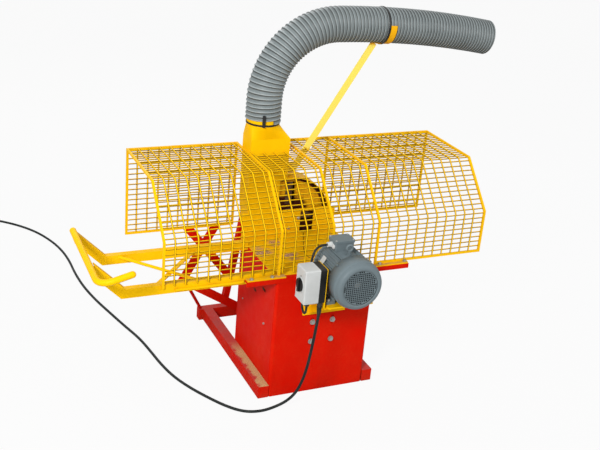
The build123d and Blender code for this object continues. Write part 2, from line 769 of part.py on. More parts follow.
def front_cover():
    """Sheet box over the motor's pulley, bored for the motor's shaft."""
    half_y = PULLEY_W / 2 + COVER_ROOM
    inner_y = (FRONT_BELT_Y - half_y, FRONT_BELT_Y + half_y)
    y = (inner_y[0] - COVER_T, inner_y[1] + COVER_T)
    box = block((-COVER_HALF_W, COVER_HALF_W), y, (DECK_Z, COVER_TOP_Z))
    inner_half = COVER_HALF_W - COVER_T
    box -= block((-inner_half, inner_half), inner_y, (DECK_Z - 1, COVER_TOP_Z - COVER_T))
    return box - disc_y(0, AXIS_Z, SHAFT_STUB_R + SHAFT_HOLE_CLEAR, y[0] - 1, inner_y[0] + 1)


def rear_cover():
    """Sheet channel over the rear belt, closed at its ends and open towards the casing."""
    half = BEARING_R + REAR_COVER_ROOM
    y = (CASING_BACK_Y, SPINDLE_BACK_Y + REAR_COVER_ROOM / 2)
    z = (LAY_SHAFT_Z - half, AXIS_Z + half)
    box = block((-half - COVER_T, half + COVER_T), (y[0], y[1] + COVER_T), (z[0] - COVER_T, z[1] + COVER_T))
    return box - block((-half, half), (y[0] - 1, y[1]), z)


# Motor


def motor_frame():
    """Finned stator frame with its two foot rails."""
    body = ring_y(MOTOR_R, MOTOR_R - MOTOR_WALL, FRAME_BACK_Y, FRAME_FACE_Y)
    fin = block(
        (MOTOR_R - FIN_H / 3, MOTOR_R + FIN_H),
        (FRAME_BACK_Y, FRAME_FACE_Y),
        (AXIS_Z - FIN_T / 2, AXIS_Z + FIN_T / 2),
    )
    fins = []
    for index in range(FIN_COUNT):
        angle = 360 / FIN_COUNT * (index + 0.5)
        lift = math.sin(math.radians(angle))
        if -0.75 < lift < 0.9:
            fins.append(turned(fin, -angle))
    body = body.fuse(*fins)
    y_mid = (FRAME_BACK_Y + FRAME_FACE_Y) / 2
    y = (y_mid - FOOT_PITCH / 2 - FOOT_PAD / 4, y_mid + FOOT_PITCH / 2 + FOOT_PAD / 4)
    for side in (-1, 1):
        x = sorted((side * (FOOT_SPAN - FOOT_PAD) / 2, side * (FOOT_SPAN + FOOT_PAD) / 2))
        body += block(x, y, (SHELF_Z, SHELF_Z + FOOT_T))
        inner_x = side * (FOOT_SPAN - FOOT_PAD) / 2
        web_x = sorted((inner_x, inner_x - side * FOOT_PAD / 3))
        body += block(web_x, y, (SHELF_Z, AXIS_Z - MOTOR_R * 0.6))
    saddle_y = terminal_y()
    saddle = block((-TERMINAL_W / 2, TERMINAL_W / 2), saddle_y, (AXIS_Z + MOTOR_R * 0.8, terminal_z()))
    body += saddle
    eye_y, eye_z = eye_place()
    pad_z = AXIS_Z + MOTOR_R * 0.9
    body += extrude(Pos(0, eye_y, pad_z) * Circle(EYE_PAD_R), amount=eye_z - pad_z)
    return body - disc_y(0, AXIS_Z, MOTOR_R - MOTOR_WALL, FRAME_BACK_Y - 1, FRAME_FACE_Y + 1)


def terminal_y():
    """Span of the terminal box along the motor."""
    return (FRAME_FACE_Y - 8 - TERMINAL_D, FRAME_FACE_Y - 8)


def terminal_z():
    """Height of the face that the terminal box sits on."""
    return AXIS_Z + MOTOR_R + FIN_H / 3


def gland_z():
    """Height of the terminal box's cable gland."""
    return terminal_z() + TERMINAL_H * 0.42


def drive_shield():
    """Stepped shield on the drive end, bored for the shaft."""
    rim = ring_y(MOTOR_R, MOTOR_SHAFT_R + RUNNING, FRAME_FACE_Y, FRAME_FACE_Y + SHIELD_LEN / 2)
    nose = ring_y(MOTOR_R * 0.72, MOTOR_SHAFT_R + RUNNING, FRAME_FACE_Y, MOTOR_FACE_Y)
    return rim + nose


def fan_shield():
    """Plain shield on the fan end."""
    return ring_y(MOTOR_R, MOTOR_SHAFT_R + RUNNING, FAN_SHIELD_Y, FRAME_BACK_Y)


def motor_rotor():
    """Rotor core on the motor's shaft, with the drive stub and the fan seat."""
    margin = FRAME_LEN * 0.12
    shaft = disc_y(0, AXIS_Z, MOTOR_SHAFT_R, FAN_SHIELD_Y - 2, MOTOR_FACE_Y)
    shaft += disc_y(0, AXIS_Z, SHAFT_STUB_R, FAN_SHIELD_Y - 40, STUB_END_Y)
    return shaft + disc_y(0, AXIS_Z, ROTOR_R, FRAME_BACK_Y + margin, FRAME_FACE_Y - margin)


def motor_fan():
    """Cooling fan: a back disc, a hub and radial blades."""
    y_far = FAN_SHIELD_Y - 6
    fan = ring_y(FAN_R, SHAFT_STUB_R + RUNNING, y_far - 4, y_far)
    fan += ring_y(2 * SHAFT_STUB_R, SHAFT_STUB_R + RUNNING, y_far - 34, y_far)
    blade = block((SHAFT_STUB_R * 1.9, FAN_R - 2), (y_far - 34, y_far - 3), (AXIS_Z - 1.5, AXIS_Z + 1.5))
    for index in range(FAN_BLADES):
        fan += turned(blade, 360 / FAN_BLADES * index)
    return fan


def fan_cover():
    """Pressed cowl with a perforated end."""
    cup = disc_y(0, AXIS_Z, FAN_COVER_R, FAN_END_Y, FRAME_BACK_Y)
    end_edges = [e for e in cup.edges() if e.center().Y < FAN_END_Y + 1]
    cup = fillet(end_edges, FAN_COVER_R * 0.16)
    cavity = disc_y(0, AXIS_Z, FAN_COVER_R - FAN_COVER_WALL, FAN_END_Y + FAN_COVER_WALL, FRAME_BACK_Y)
    cavity_edges = [e for e in cavity.edges() if e.center().Y < FAN_END_Y + FAN_COVER_WALL + 1]
    cavity = fillet(cavity_edges, FAN_COVER_R * 0.16 - FAN_COVER_WALL / 2)
    cover = cup - cavity
    count = int(GRILLE_R // GRILLE_PITCH)
    holes = Sketch()
    for column in range(-count, count + 1):
        for row in range(-count, count + 1):
            if math.hypot(column, row) * GRILLE_PITCH < GRILLE_R - GRILLE_HOLE / 2:
                place = Pos(column * GRILLE_PITCH, AXIS_Z + row * GRILLE_PITCH)
                holes += place * Rectangle(GRILLE_HOLE, GRILLE_HOLE)
    return cover - along_y(holes, FAN_END_Y - 1, FAN_END_Y + FAN_COVER_WALL + 1)


def terminal_box():
    """Terminal box with an overlapping lid on top of the frame."""
    y = terminal_y()
    z = terminal_z()
    body = block((-TERMINAL_W / 2, TERMINAL_W / 2), y, (z, z + TERMINAL_H))
    lid = block(
        (-TERMINAL_W / 2 - 3, TERMINAL_W / 2 + 3), (y[0] - 3, y[1] + 3),
        (z + TERMINAL_H - TERMINAL_LID / 2, z + TERMINAL_H + TERMINAL_LID / 2),
    )
    box = fillet(body.edges().filter_by(Axis.Z), 6) + fillet(lid.edges().filter_by(Axis.Z), 8)
    return box


def eye_place():
    """Y of the lifting eye and the height of the pad that it stands on."""
    return terminal_y()[0] - 3.4 * EYE_PAD_R, AXIS_Z + MOTOR_R + EYE_PAD


def eye_bolt():
    """Lifting eye screwed into the pad on top of the motor frame."""
    y, z = eye_place()
    shank = Pos(0, y, z) * Cylinder(9, 10, align=(Align.CENTER, Align.CENTER, Align.MIN))
    ring = Pos(0, y, z + 24) * Rot(90, 0, 0) * Torus(13, 5)
    return shank + ring


def gland(point, direction):
    """Cable gland: a hexagon nut and a round dome, bored for the cable."""
    plane = Plane(origin=point, z_dir=direction)
    nut = extrude(plane * RegularPolygon(GLAND_R, 6), amount=GLAND_LEN * 0.45)
    dome = extrude(plane * Circle(GLAND_R * 0.82), amount=GLAND_LEN)
    return nut + dome


# Motor bracket


def motor_bracket():
    """Shelf with two gussets and a back flange that slides on the cabinet's front."""
    y = (FRONT_Y - BRACKET_T - BRACKET_REACH, FRONT_Y)
    half = BRACKET_HALF_W
    shelf = block((-half, half), y, (SHELF_Z - BRACKET_T, SHELF_Z))
    flange = block((-half, half), (FRONT_Y - BRACKET_T, FRONT_Y), (SHELF_Z - BRACKET_DROP, SHELF_Z))
    gusset_face = polygon(
        (FRONT_Y - BRACKET_T, SHELF_Z - BRACKET_T),
        (y[0] + BRACKET_T, SHELF_Z - BRACKET_T),
        (FRONT_Y - BRACKET_T, SHELF_Z - BRACKET_DROP + BRACKET_T),
    )
    bracket = shelf + flange
    for side in (-1, 1):
        x = sorted((side * GUSSET_X, side * (GUSSET_X + BRACKET_T)))
        bracket += along_x(gusset_face, *x)
        bracket -= disc_y(side * BOLT_X, FLANGE_BOLT_Z, BOLT_R + RUNNING, FRONT_Y - BRACKET_T - 1, FRONT_Y)
    return bracket


def slide_plate():
    """Plate inside the cabinet's front that the bolts draw tight, so that the motor keeps its height."""
    y = (SLIDE_Y, SLIDE_Y + SLIDE_T)
    plate = block((-SLIDE_HALF_W, SLIDE_HALF_W), y, (SLIDE_BOTTOM_Z, SHELF_Z - BRACKET_T))
    for x in (-BOLT_X, BOLT_X):
        for z in (*BOLT_Z, FLANGE_BOLT_Z):
            plate -= disc_y(x, z, BOLT_R + RUNNING, y[0] - 1, y[1] + 1)
    return plate


def panel_bolt(x, z, face_y):
    """Hexagon bolt with its washer on a face of the cabinet's front or of the bracket's flange."""
    washer = disc_y(x, z, WASHER_R, face_y - WASHER_T, face_y)
    head = along_y(
        Pos(x, z) * RegularPolygon(BOLT_HEAD_R, 6), face_y - WASHER_T - BOLT_HEAD_T, face_y - WASHER_T
    )
    return washer + head + disc_y(x, z, BOLT_R, face_y - WASHER_T, SLIDE_Y + 2 * SLIDE_T)


# Switch


def switch_plate():
    """Upright plate on the bracket's shelf that carries the switch."""
    z_low = SHELF_Z - BRACKET_T - SWITCH_PLATE_T
    x = (SWITCH_PLATE_X, SWITCH_PLATE_X + SWITCH_PLATE_T)
    upright = block(x, SWITCH_Y, (z_low, SWITCH_Z[1]))
    flange = block((SWITCH_PLATE_X, -GUSSET_X - 2 * BRACKET_T), SWITCH_Y, (z_low, SHELF_Z - BRACKET_T))
    return upright + flange


def switch_base():
    """Dark back half of the switch housing."""
    body = block((SWITCH_PLATE_X - SWITCH_BASE_T, SWITCH_PLATE_X), SWITCH_Y, SWITCH_Z)
    return fillet(body.edges().filter_by(Axis.X), SWITCH_ROUND)


def switch_front_x():
    """Outer face of the switch cover."""
    return SWITCH_PLATE_X - SWITCH_BASE_T - SWITCH_COVER_T


def switch_cover():
    """Light hollow cover with rounded edges, bored for the knob's spindle."""
    x = (switch_front_x(), SWITCH_PLATE_X - SWITCH_BASE_T)
    body = block(x, SWITCH_Y, SWITCH_Z)
    body = fillet(body.edges().filter_by(Axis.X), SWITCH_ROUND)
    front = [e for e in body.edges() if abs(e.center().X - x[0]) < 0.1]
    body = fillet(front, SWITCH_ROUND * 0.8)
    y_in = (SWITCH_Y[0] + SWITCH_WALL, SWITCH_Y[1] - SWITCH_WALL)
    z_in = (SWITCH_Z[0] + SWITCH_WALL, SWITCH_Z[1] - SWITCH_WALL)
    body -= block((x[0] + SWITCH_WALL, x[1]), y_in, z_in)
    hole = round_bar((x[0] - 1, *knob_centre()), (x[0] + 2 * SWITCH_WALL, *knob_centre()),
                     KNOB_SPINDLE_R + RUNNING)
    return body - hole


def knob_centre():
    """Y and Z of the knob's axis, in the middle of the cover."""
    return (sum(SWITCH_Y) / 2, sum(SWITCH_Z) / 2)


def switch_knob():
    """Round knob with a finger bar across it and a spindle into the cover."""
    x0 = switch_front_x() - 0.3
    y, z = knob_centre()
    skirt = round_bar((x0, y, z), (x0 - KNOB_SKIRT, y, z), KNOB_R)
    bar_y = (y - KNOB_BAR_W / 2, y + KNOB_BAR_W / 2)
    bar = block((x0 - KNOB_LEN, x0), bar_y, (z - KNOB_R, z + KNOB_R))
    bar &= round_bar((x0, y, z), (x0 - KNOB_LEN, y, z), KNOB_R)
    shaft = round_bar((x0, y, z), (x0 + SWITCH_WALL * 3, y, z), KNOB_SPINDLE_R)
    return skirt + bar + shaft


# Cables


def corner_radii(points):
    """The largest arc at each corner: 0.45 of the shorter run over the tangent of half the turn."""
    radii = []
    for before, here, after in zip(points, points[1:], points[2:]):
        a = Vector(*here) - Vector(*before)
        b = Vector(*after) - Vector(*here)
        turn = math.radians(a.get_angle(b))
        radii.append(0.45 * min(a.length, b.length) / math.tan(turn / 2))
    return radii


def tube(name, points, radius):
    """A plain cable tube along straight runs and tangent arcs."""
    radii = corner_radii(points)
    path = FilletPolyline(*points, radius=radii)
    print(name, "least radius", round(min(radii), 1), "length", round(path.length, 1))
    start = Vector(*points[0])
    section = Plane(origin=start, z_dir=Vector(*points[1]) - start) * RegularPolygon(radius, CORD_SIDES)
    return sweep(section, path=path)


def cord_start():
    """Where the mains cord leaves its gland."""
    return (*CORD_GLAND, SWITCH_Z[0] - GLAND_LEN)


def cable_start():
    """Where the motor cable leaves the terminal box's gland."""
    return (-TERMINAL_W / 2 - GLAND_LEN, sum(terminal_y()) / 2, gland_z())


def cable_end():
    """Where the motor cable enters the switch's second gland."""
    return (*CABLE_GLAND, SWITCH_Z[0] - GLAND_LEN)


def coil_path():
    """Two layers of half turns: winding in, climbing, then winding out on top of the first layer."""
    entry = Vector(*CORD_POINTS[-1])
    heading = (entry - Vector(*CORD_POINTS[-2])).normalized()
    lead = 2 * CORD_R
    place = entry + heading * lead
    path = Line(entry, place)
    radii = [COIL_R - COIL_STEP / 2 * k for k in range(COIL_HALF_TURNS + 1)]
    radii += radii[-2::-1]
    samples = []
    for index, radius in enumerate(radii):
        climb = COIL_LAYER if index == COIL_HALF_TURNS else 0.0
        left = Vector(-heading.Y, heading.X, 0)
        end = place + left * (2 * radius) + Vector(0, 0, climb)
        middle = (place + end) / 2 + heading * ((end - place).length / 2)
        path += ThreePointArc(place, middle, end)
        samples += [(index, place + (end - place) * (1 - math.cos(t)) / 2 + heading * radius * math.sin(t))
                    for t in [math.pi * k / 24 for k in range(24)]]
        place = end
        heading = heading * -1
    path += Line(place, place + heading * COIL_TAIL)
    gaps = [
        (p - q).length - 2 * CORD_R
        for i, p in samples for j, q in samples if j - i > 1
    ]
    print("coil", "least gap to itself", round(min(gaps), 2), "length", round(path.length, 1))
    return path, place + heading * COIL_TAIL, heading


def plug(place, heading):
    """Two-pin moulded plug lying at the end of the coil."""
    plane = Plane(origin=place, z_dir=heading)
    grip = loft([plane * Circle(CORD_R + 2), plane.offset(PLUG_LEN * 0.35) * Circle(PLUG_R * 0.72)])
    body = extrude(plane.offset(PLUG_LEN * 0.35) * Circle(PLUG_R * 0.72), amount=PLUG_LEN * 0.25)
    face = extrude(plane.offset(PLUG_LEN * 0.6) * Circle(PLUG_R), amount=PLUG_LEN * 0.4)
    pins = [
        extrude(plane.offset(PLUG_LEN) * Pos(side * PLUG_PIN_GAP / 2, 0) * Circle(PLUG_PIN_R),
                amount=PLUG_PIN_LEN)
        for side in (-1, 1)
    ]
    return grip + body + face + pins[0] + pins[1]


# Infeed table


def rail(y_web):
    """Angle rail whose outer end kinks upward; the ledge points away from the operator."""
    slope = Vector(RAIL_END_X - RAIL_KINK_X, RAIL_END_Z - RAIL_TOP_Z).normalized()
    normal = Vector(-slope.Y, slope.X)
    if normal.Y > 0:
        normal = normal * -1

    def profile(depth, cut):
        end = Vector(RAIL_END_X, RAIL_END_Z)
        end_low = end + normal * (depth - cut)
        cut_low = end + normal * depth - slope * 2 * cut
        drop = depth / abs(normal.Y)
        low_z = RAIL_TOP_Z - depth
        kink_low_x = RAIL_KINK_X - (drop - depth) / math.tan(math.atan2(slope.Y, -slope.X))
        corners = [(-BASE_HALF_W, RAIL_TOP_Z), (RAIL_KINK_X, RAIL_TOP_Z), (end.X, end.Y)]
        if cut:
            corners.append((end_low.X, end_low.Y))
        corners += [(cut_low.X, cut_low.Y), (kink_low_x, low_z), (-BASE_HALF_W, low_z)]
        return polygon(*corners)

    near = y_web - RAIL_T / 2
    web = along_y(profile(RAIL_H, RAIL_END_CUT), near, near + RAIL_T)
    return web + along_y(profile(RAIL_T, 0), near, near + RAIL_FLANGE)


def cradle_point(y, drop):
    """Centre of the cradle tube lying on the rails' end faces, a drop below their top edge."""
    slope = Vector(RAIL_END_X - RAIL_KINK_X, RAIL_END_Z - RAIL_TOP_Z).normalized()
    x = RAIL_END_X + slope.X * CRADLE_R - slope.Y * drop
    z = RAIL_END_Z + slope.Y * CRADLE_R + slope.X * drop
    return (x, y, z)


def cradle_tube():
    """Bent round tube across the raised rail ends, turned in along the near rail, with a domed tip."""
    far = cradle_point(CRADLE_FAR_Y, CRADLE_FAR_DROP)
    near = cradle_point(CRADLE_NEAR_Y, CRADLE_NEAR_DROP)
    tip = (CRADLE_TIP_X, CRADLE_NEAR_Y, near[2] + CRADLE_TIP_RISE)
    path = FilletPolyline(far, near, tip, radius=CRADLE_BEND_R)
    section = Plane(origin=far, z_dir=Vector(*near) - Vector(*far)) * Circle(CRADLE_R)
    return sweep(section, path=path) + Pos(*tip) * Sphere(CRADLE_R)


def rail_braces():
    """A round and a flat diagonal between the rails, cut off at their webs."""
    near = RAIL_NEAR_Y + RAIL_T / 2
    far = RAIL_FAR_Y - RAIL_T / 2
    rod_z = RAIL_TOP_Z - RAIL_T - BRACE_R
    flat_z = rod_z - BRACE_R - BRACE_T / 2
    span = block((2 * RAIL_END_X, 0), (near, far), (0, RAIL_TOP_Z))

    def ends(x_far, x_near, z):
        step = (x_near - x_far) * BRACE_W / (far - near)
        return (x_far - step, far + BRACE_W, z), (x_near + step, near - BRACE_W, z)

    rod = round_bar(*ends(*BRACE_ROD_X, rod_z), BRACE_R) & span
    flat = flat_bar(*ends(*BRACE_FLAT_X, flat_z), BRACE_W, BRACE_T, (0, 0, 1)) & span
    return [rod, flat]


# Guards


def frame_path():
    """Corners of a guard frame in the Y-Z plane, from the far foot over the top to the near foot."""
    return [
        (GUARD_FAR_Y, DECK_Z),
        (GUARD_FAR_Y, GUARD_TOP_Z),
        (GUARD_RIDGE_Y, GUARD_TOP_Z),
        (GUARD_NEAR_Y, GUARD_KNEE_Z),
        (GUARD_NEAR_Y, FLAT_TOP_Z),
    ]


def frame_face(points):
    """Mitred band of the frame bar's width along a run of corners."""
    return trace(Polyline(*points), line_width=FRAME_BAR)


def guard_frame(x):
    """One bent frame."""
    return along_x(frame_face(frame_path()), x - FRAME_BAR / 2, x + FRAME_BAR / 2)


def middle_frame():
    """The frame between the inlet and outlet frames, standing on the front belt's cover."""
    points = frame_path()
    points[-1] = (GUARD_NEAR_Y, COVER_TOP_Z)
    x = (FRAME_MIDDLE_X - FRAME_BAR / 2, FRAME_MIDDLE_X + FRAME_BAR / 2)
    return along_x(frame_face(points), *x)


def long_bar(x, y, z):
    """A square bar along X between two frames."""
    return block((x[0] + FRAME_BAR / 2, x[1] - FRAME_BAR / 2),
                 (y - FRAME_BAR / 2, y + FRAME_BAR / 2), (z - FRAME_BAR / 2, z + FRAME_BAR / 2))


def facet(index):
    """Start and end of one straight stretch of the guard's section."""
    corners = frame_path()
    return Vector(*corners[index]), Vector(*corners[index + 1])


def corner_lean(index):
    """Tangent of half the section's turn at a corner, zero at the feet."""
    corners = [Vector(*corner) for corner in frame_path()]
    if index in (0, len(corners) - 1):
        return 0.0
    turn = (corners[index] - corners[index - 1]).get_angle(corners[index + 1] - corners[index])
    return math.tan(math.radians(turn) / 2)


def mesh(x, index, room=(0.0, 0.0), gap=None):
    """Welded wire panel between two frames: straight wires along X on wires along the section.

    room is kept free at the section's start and end; without it a wire is mitred to the wire round
    the corner. gap is (x0, x1, s0, s1): the panel is left open between x0 and x1, from the distance
    s0 to s1 along the section.
    """
    a, b = facet(index)
    direction = (b - a).normalized()
    normal = Vector(direction.Y, -direction.X)
    low = room[0]
    high = (b - a).length - room[1]
    x0 = x[0] + FRAME_BAR / 2
    x1 = x[1] - FRAME_BAR / 2

    def face(*places):
        """A face through places given as distances along the section and out of it."""
        points = [a + direction * s + normal * out for s, out in places]
        return polygon(*[(point.X, point.Y) for point in points])

    def section_face(s0, s1):
        """Side view of a section wire, mitred where it runs into a corner."""
        lean0 = corner_lean(index) if s0 == 0 else 0.0
        lean1 = corner_lean(index + 1) if s1 == (b - a).length else 0.0
        return face((s0, 0), (s1, 0), (s1 - WIRE * lean1, -WIRE), (s0 + WIRE * lean0, -WIRE))

    def runs(start, end, inside, near, far):
        """The stretches of a wire that are left beside the gap."""
        if not inside:
            return [(start, end)]
        stretches = ((start, min(end, near)), (max(start, far), end))
        return [run for run in stretches if run[1] - run[0] > WIRE]

    wires = []
    rows = int((high - low - 2 * WIRE) // MESH_PITCH_S)
    first = (low + high - rows * MESH_PITCH_S) / 2
    for k in range(rows + 1):
        s = first + k * MESH_PITCH_S
        side = face((s - WIRE / 2, 0), (s + WIRE / 2, 0), (s + WIRE / 2, WIRE), (s - WIRE / 2, WIRE))
        inside = gap is not None and gap[2] < s < gap[3]
        for run in runs(x0, x1, inside, *(gap or (0, 0))[:2]):
            wires.append(along_x(side, *run))
    columns = int((x1 - x0 - WIRE) // MESH_PITCH_X)
    start = (x0 + x1 - columns * MESH_PITCH_X) / 2
    for k in range(columns + 1):
        centre = start + k * MESH_PITCH_X
        inside = gap is not None and gap[0] - WIRE < centre < gap[1] + WIRE
        for run in runs(low, high, inside, *(gap or (0, 0, 0, 0))[2:]):
            wires.append(along_x(section_face(*run), centre - WIRE / 2, centre + WIRE / 2))
    return wires


# Stays behind the guard


def level_bar(low, high, y, width=STAY_W, depth=STAY_T):
    """A bar between two X-Z points, cut level at both ends, with its near face at y."""
    rise = math.hypot(high[0] - low[0], high[1] - low[1]) / (high[1] - low[1])
    half = width / 2 * rise
    face = polygon((low[0] - half, low[1]), (low[0] + half, low[1]), (high[0] + half, high[1]),
                   (high[0] - half, high[1]))
    return along_y(face, y, y + depth)


def stay_back_y():
    """Far face of the guard frames, where the posts and the tie lap on."""
    return GUARD_FAR_Y + FRAME_BAR / 2


def stay_x(low, high, z):
    """X of a post's middle line at a height."""
    return low[0] + (high[0] - low[0]) * (z - low[1]) / (high[1] - low[1])


def stay_post(low, high):
    """Leaning square tube, closed at both ends."""
    y = stay_back_y()
    inside = STAY_POST_W - 2 * TUBE_WALL
    bottom = low[1] + TUBE_WALL
    top = high[1] - TUBE_WALL
    hollow = level_bar((stay_x(low, high, bottom), bottom), (stay_x(low, high, top), top), y + TUBE_WALL,
                       inside, inside)
    return level_bar(low, high, y, STAY_POST_W, STAY_POST_W) - hollow


def standoff(x, y, z):
    """Square bar along Y that carries a stay off a plate."""
    half = STANDOFF_W / 2
    return block((x - half, x + half), y, (z - half, z + half))


def stay_braces():
    """Arm, tie, brace and rod that carry the infeed guard's far bottom bar, with two standoffs."""
    y = stay_back_y()
    arm_foot = (stay_x(STAY_LEFT_FOOT, STAY_LEFT_HEAD, STAY_ARM_Z), STAY_ARM_Z)
    arm = level_bar(arm_foot, (STAY_ARM_HEAD_X, DECK_Z), y - STAY_T)
    tie = level_bar(STAY_TIE_FOOT, (STAY_TIE_HEAD_X, DECK_Z + FRAME_BAR), y)
    brace_y = y - STAY_T / 2
    brace_head = (STAY_BRACE_HEAD[0], brace_y, STAY_BRACE_HEAD[1])
    brace_end = (STAY_BRACE_END[0], brace_y, STAY_BRACE_END[1])
    brace = flat_bar(brace_head, brace_end, STAY_W, STAY_T, (0, 1, 0))
    low = standoff(STAY_BRACE_END[0] - STANDOFF_W / 2, (0, y - STAY_T), STAY_BRACE_END[1])
    head_z = STAY_LEFT_HEAD[1] - STANDOFF_W
    high = standoff(stay_x(STAY_LEFT_FOOT, STAY_LEFT_HEAD, head_z), (CASING_BACK_Y, y), head_z)
    rod_foot = (-BASE_HALF_W - FOOT_W - REAR_TUBE_OVER / 2, FOOT_REAR_Y + REAR_TUBE_W / 2, FOOT_H)
    rod_head = Vector(STAY_ROD_HEAD[0], y + STAY_T + STAY_ROD_R / 2, STAY_ROD_HEAD[1])
    lean = (Vector(*rod_foot) - rod_head).normalized()
    rod = round_bar(tuple(rod_head), tuple(Vector(*rod_foot) + lean * 3 * STAY_ROD_R), STAY_ROD_R)
    wide = 2 * BASE_HALF_W
    rod -= block((-2 * wide, 0), (-wide, y + STAY_T), (0, 2 * wide))
    rod -= block((-2 * wide, 0), (-wide, 2 * wide), (-wide, FOOT_H))
    return [arm, tie, brace, low, high, rod]


def build():
    """Make every piece and write it."""
    write("feet", foot(-1), foot(1))
    write("rear_cross_tube", rear_tube())
    write("base_shell", base_shell())
    write("deck", deck())
    write("front_beam", front_beam())
    right_foot = (STAY_FOOT_X, FOOT_H)
    right_head = (STAY_HEAD_RIGHT, DECK_Z + STAY_W)
    write("stay_posts", stay_post(STAY_LEFT_FOOT, STAY_LEFT_HEAD), stay_post(right_foot, right_head))
    write("stay_braces", *stay_braces())

    write("casing_shell", casing_shell())
    write("casing_front", casing_front())
    write("duct_collar", duct_collar())
    write("hose", hose())
    write("hose_clamp", hose_clamp())
    write("hose_tie", hose_tie())
    write("hose_strut", hose_strut())

    write("cutter_disc", cutter_disc())
    write("knives", *knives())
    write("spindle", spindle())
    write("front_bearing", front_bearing())
    write("rear_bearing", flange_bearing(AXIS_Z, SPINDLE_R, CASING_BACK_Y, 1))

    write("motor_pulley", pulley(AXIS_Z, FRONT_BELT_Y, SHAFT_STUB_R + RUNNING))
    write("front_belt", belt(FRONT_BELT_Y))
    write("lay_shaft", lay_shaft())
    write("lay_shaft_pulleys", *[pulley(LAY_SHAFT_Z, y, LAY_SHAFT_R) for y in (FRONT_BELT_Y, REAR_BELT_Y)])
    bearing_walls = (LAY_PLATE_Y + LAY_PLATE_T, 0)
    write("lay_shaft_bearings", *[flange_bearing(LAY_SHAFT_Z, LAY_SHAFT_R, y, 1) for y in bearing_walls])
    write("lay_shaft_plate", lay_plate())
    write("rear_belt", belt(REAR_BELT_Y))
    write("spindle_pulley", pulley(AXIS_Z, REAR_BELT_Y, SPINDLE_R))
    write("front_belt_cover", front_cover())
    write("rear_belt_cover", rear_cover())

    write("motor_frame", motor_frame())
    write("motor_end_shields", drive_shield(), fan_shield())
    write("motor_rotor", motor_rotor())
    write("motor_fan", motor_fan())
    write("fan_cover", fan_cover())
    write("terminal_box", terminal_box())
    write("eye_bolt", eye_bolt())
    y_box = sum(terminal_y()) / 2
    write(
        "glands",
        gland((-TERMINAL_W / 2, y_box, gland_z()), (-1, 0, 0)),
        gland((*CABLE_GLAND, SWITCH_Z[0]), (0, 0, -1)),
        gland((*CORD_GLAND, SWITCH_Z[0]), (0, 0, -1)),
    )
    write("motor_bracket", motor_bracket())
    write("slide_plate", slide_plate())
    bolts = [panel_bolt(x, z, FRONT_Y) for x in (-BOLT_X, BOLT_X) for z in BOLT_Z]
    bolts += [panel_bolt(x, FLANGE_BOLT_Z, FRONT_Y - BRACKET_T) for x in (-BOLT_X, BOLT_X)]
    write("panel_bolts", *bolts)
    write("switch_plate", switch_plate())
    write("switch_base", switch_base())
    write("switch_cover", switch_cover())
    write("switch_knob", switch_knob())

    write("motor_cable", tube("motor cable", [cable_start(), *CABLE_POINTS, cable_end()], CABLE_R))
    write("mains_cord", tube("mains cord", [cord_start(), *CORD_POINTS], CORD_R))
    path, coil_end, coil_heading = coil_path()
    section = Plane(origin=path @ 0, z_dir=path % 0) * RegularPolygon(CORD_R, CORD_SIDES)
    write("cord_coil", sweep(section, path=path))
    write("plug", plug(coil_end, coil_heading))

    write("infeed_rails", rail(RAIL_NEAR_Y), rail(RAIL_FAR_Y))
    write("cradle_tube", cradle_tube())
    write("rail_braces", *rail_braces())

    left = (FRAME_LEFT_X, FRAME_INLET_X)
    right = (FRAME_OUTLET_X, FRAME_RIGHT_X)
    bar_z = DECK_Z + FRAME_BAR / 2
    write("guard_frames_left", guard_frame(FRAME_LEFT_X), guard_frame(FRAME_INLET_X))
    write("guard_frames_right", guard_frame(FRAME_OUTLET_X), guard_frame(FRAME_RIGHT_X))
    write("guard_frame_middle", middle_frame())
    halves = ((FRAME_INLET_X, FRAME_MIDDLE_X), (FRAME_MIDDLE_X, FRAME_OUTLET_X))
    write(
        "guard_bars",
        *[long_bar(span, GUARD_FAR_Y, GUARD_TOP_Z) for span in (left, halves[1], right)],
        long_bar(left, GUARD_FAR_Y, bar_z),
        long_bar(right, GUARD_FAR_Y, bar_z),
        long_bar((NEAR_BAR_X, -BEAM_LEFT), GUARD_NEAR_Y, DECK_Z - FRAME_BAR / 2),
        long_bar(right, GUARD_NEAR_Y, FLAT_TOP_Z + FRAME_BAR / 2),
    )
    flat_y = (BEAM_Y + 2, DECK_FRONT_Y)
    flat_z = (DECK_Z, FLAT_TOP_Z)
    write("guard_flats", block(FLAT_LEFT, flat_y, flat_z), block(FLAT_RIGHT, flat_y, flat_z))

    half_bar = FRAME_BAR / 2
    rooms = [(FRAME_BAR, half_bar), (half_bar, 0), (0, 0), (0, FRAME_BAR)]
    for name, span in (("left", left), ("right", right)):
        panels = [mesh(span, index, room) for index, room in enumerate(rooms)]
        write(f"mesh_{name}", *[wire for panel in panels for wire in panel])
    cover = (-COVER_HALF_W - WIRE, COVER_HALF_W + WIRE, GUARD_KNEE_Z - COVER_TOP_Z - WIRE, GUARD_KNEE_Z)
    duct = (DUCT_LEFT_X - FRAME_BAR, DUCT_RIGHT_X + WIRE, 0, GUARD_FAR_Y + WIRE)
    at = strut_x(GUARD_TOP_Z)
    strut_s = GUARD_FAR_Y - CASING_BACK_Y / 2
    strut = (at - STRUT_W, at + STRUT_W, strut_s - 2 * STRUT_T, strut_s + 2 * STRUT_T)
    middle = mesh(halves[0], 1, rooms[1], duct) + mesh(halves[1], 1, rooms[1], strut)
    for half in halves:
        middle += mesh(half, 2, rooms[2])
        middle += mesh(half, 3, rooms[3], cover)
    write("mesh_middle", *middle)


build()
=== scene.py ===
"""Looks of a post peeling machine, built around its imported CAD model. Metres, +Z up."""

import math

import bmesh
import bpy
from mathutils import Matrix, Vector


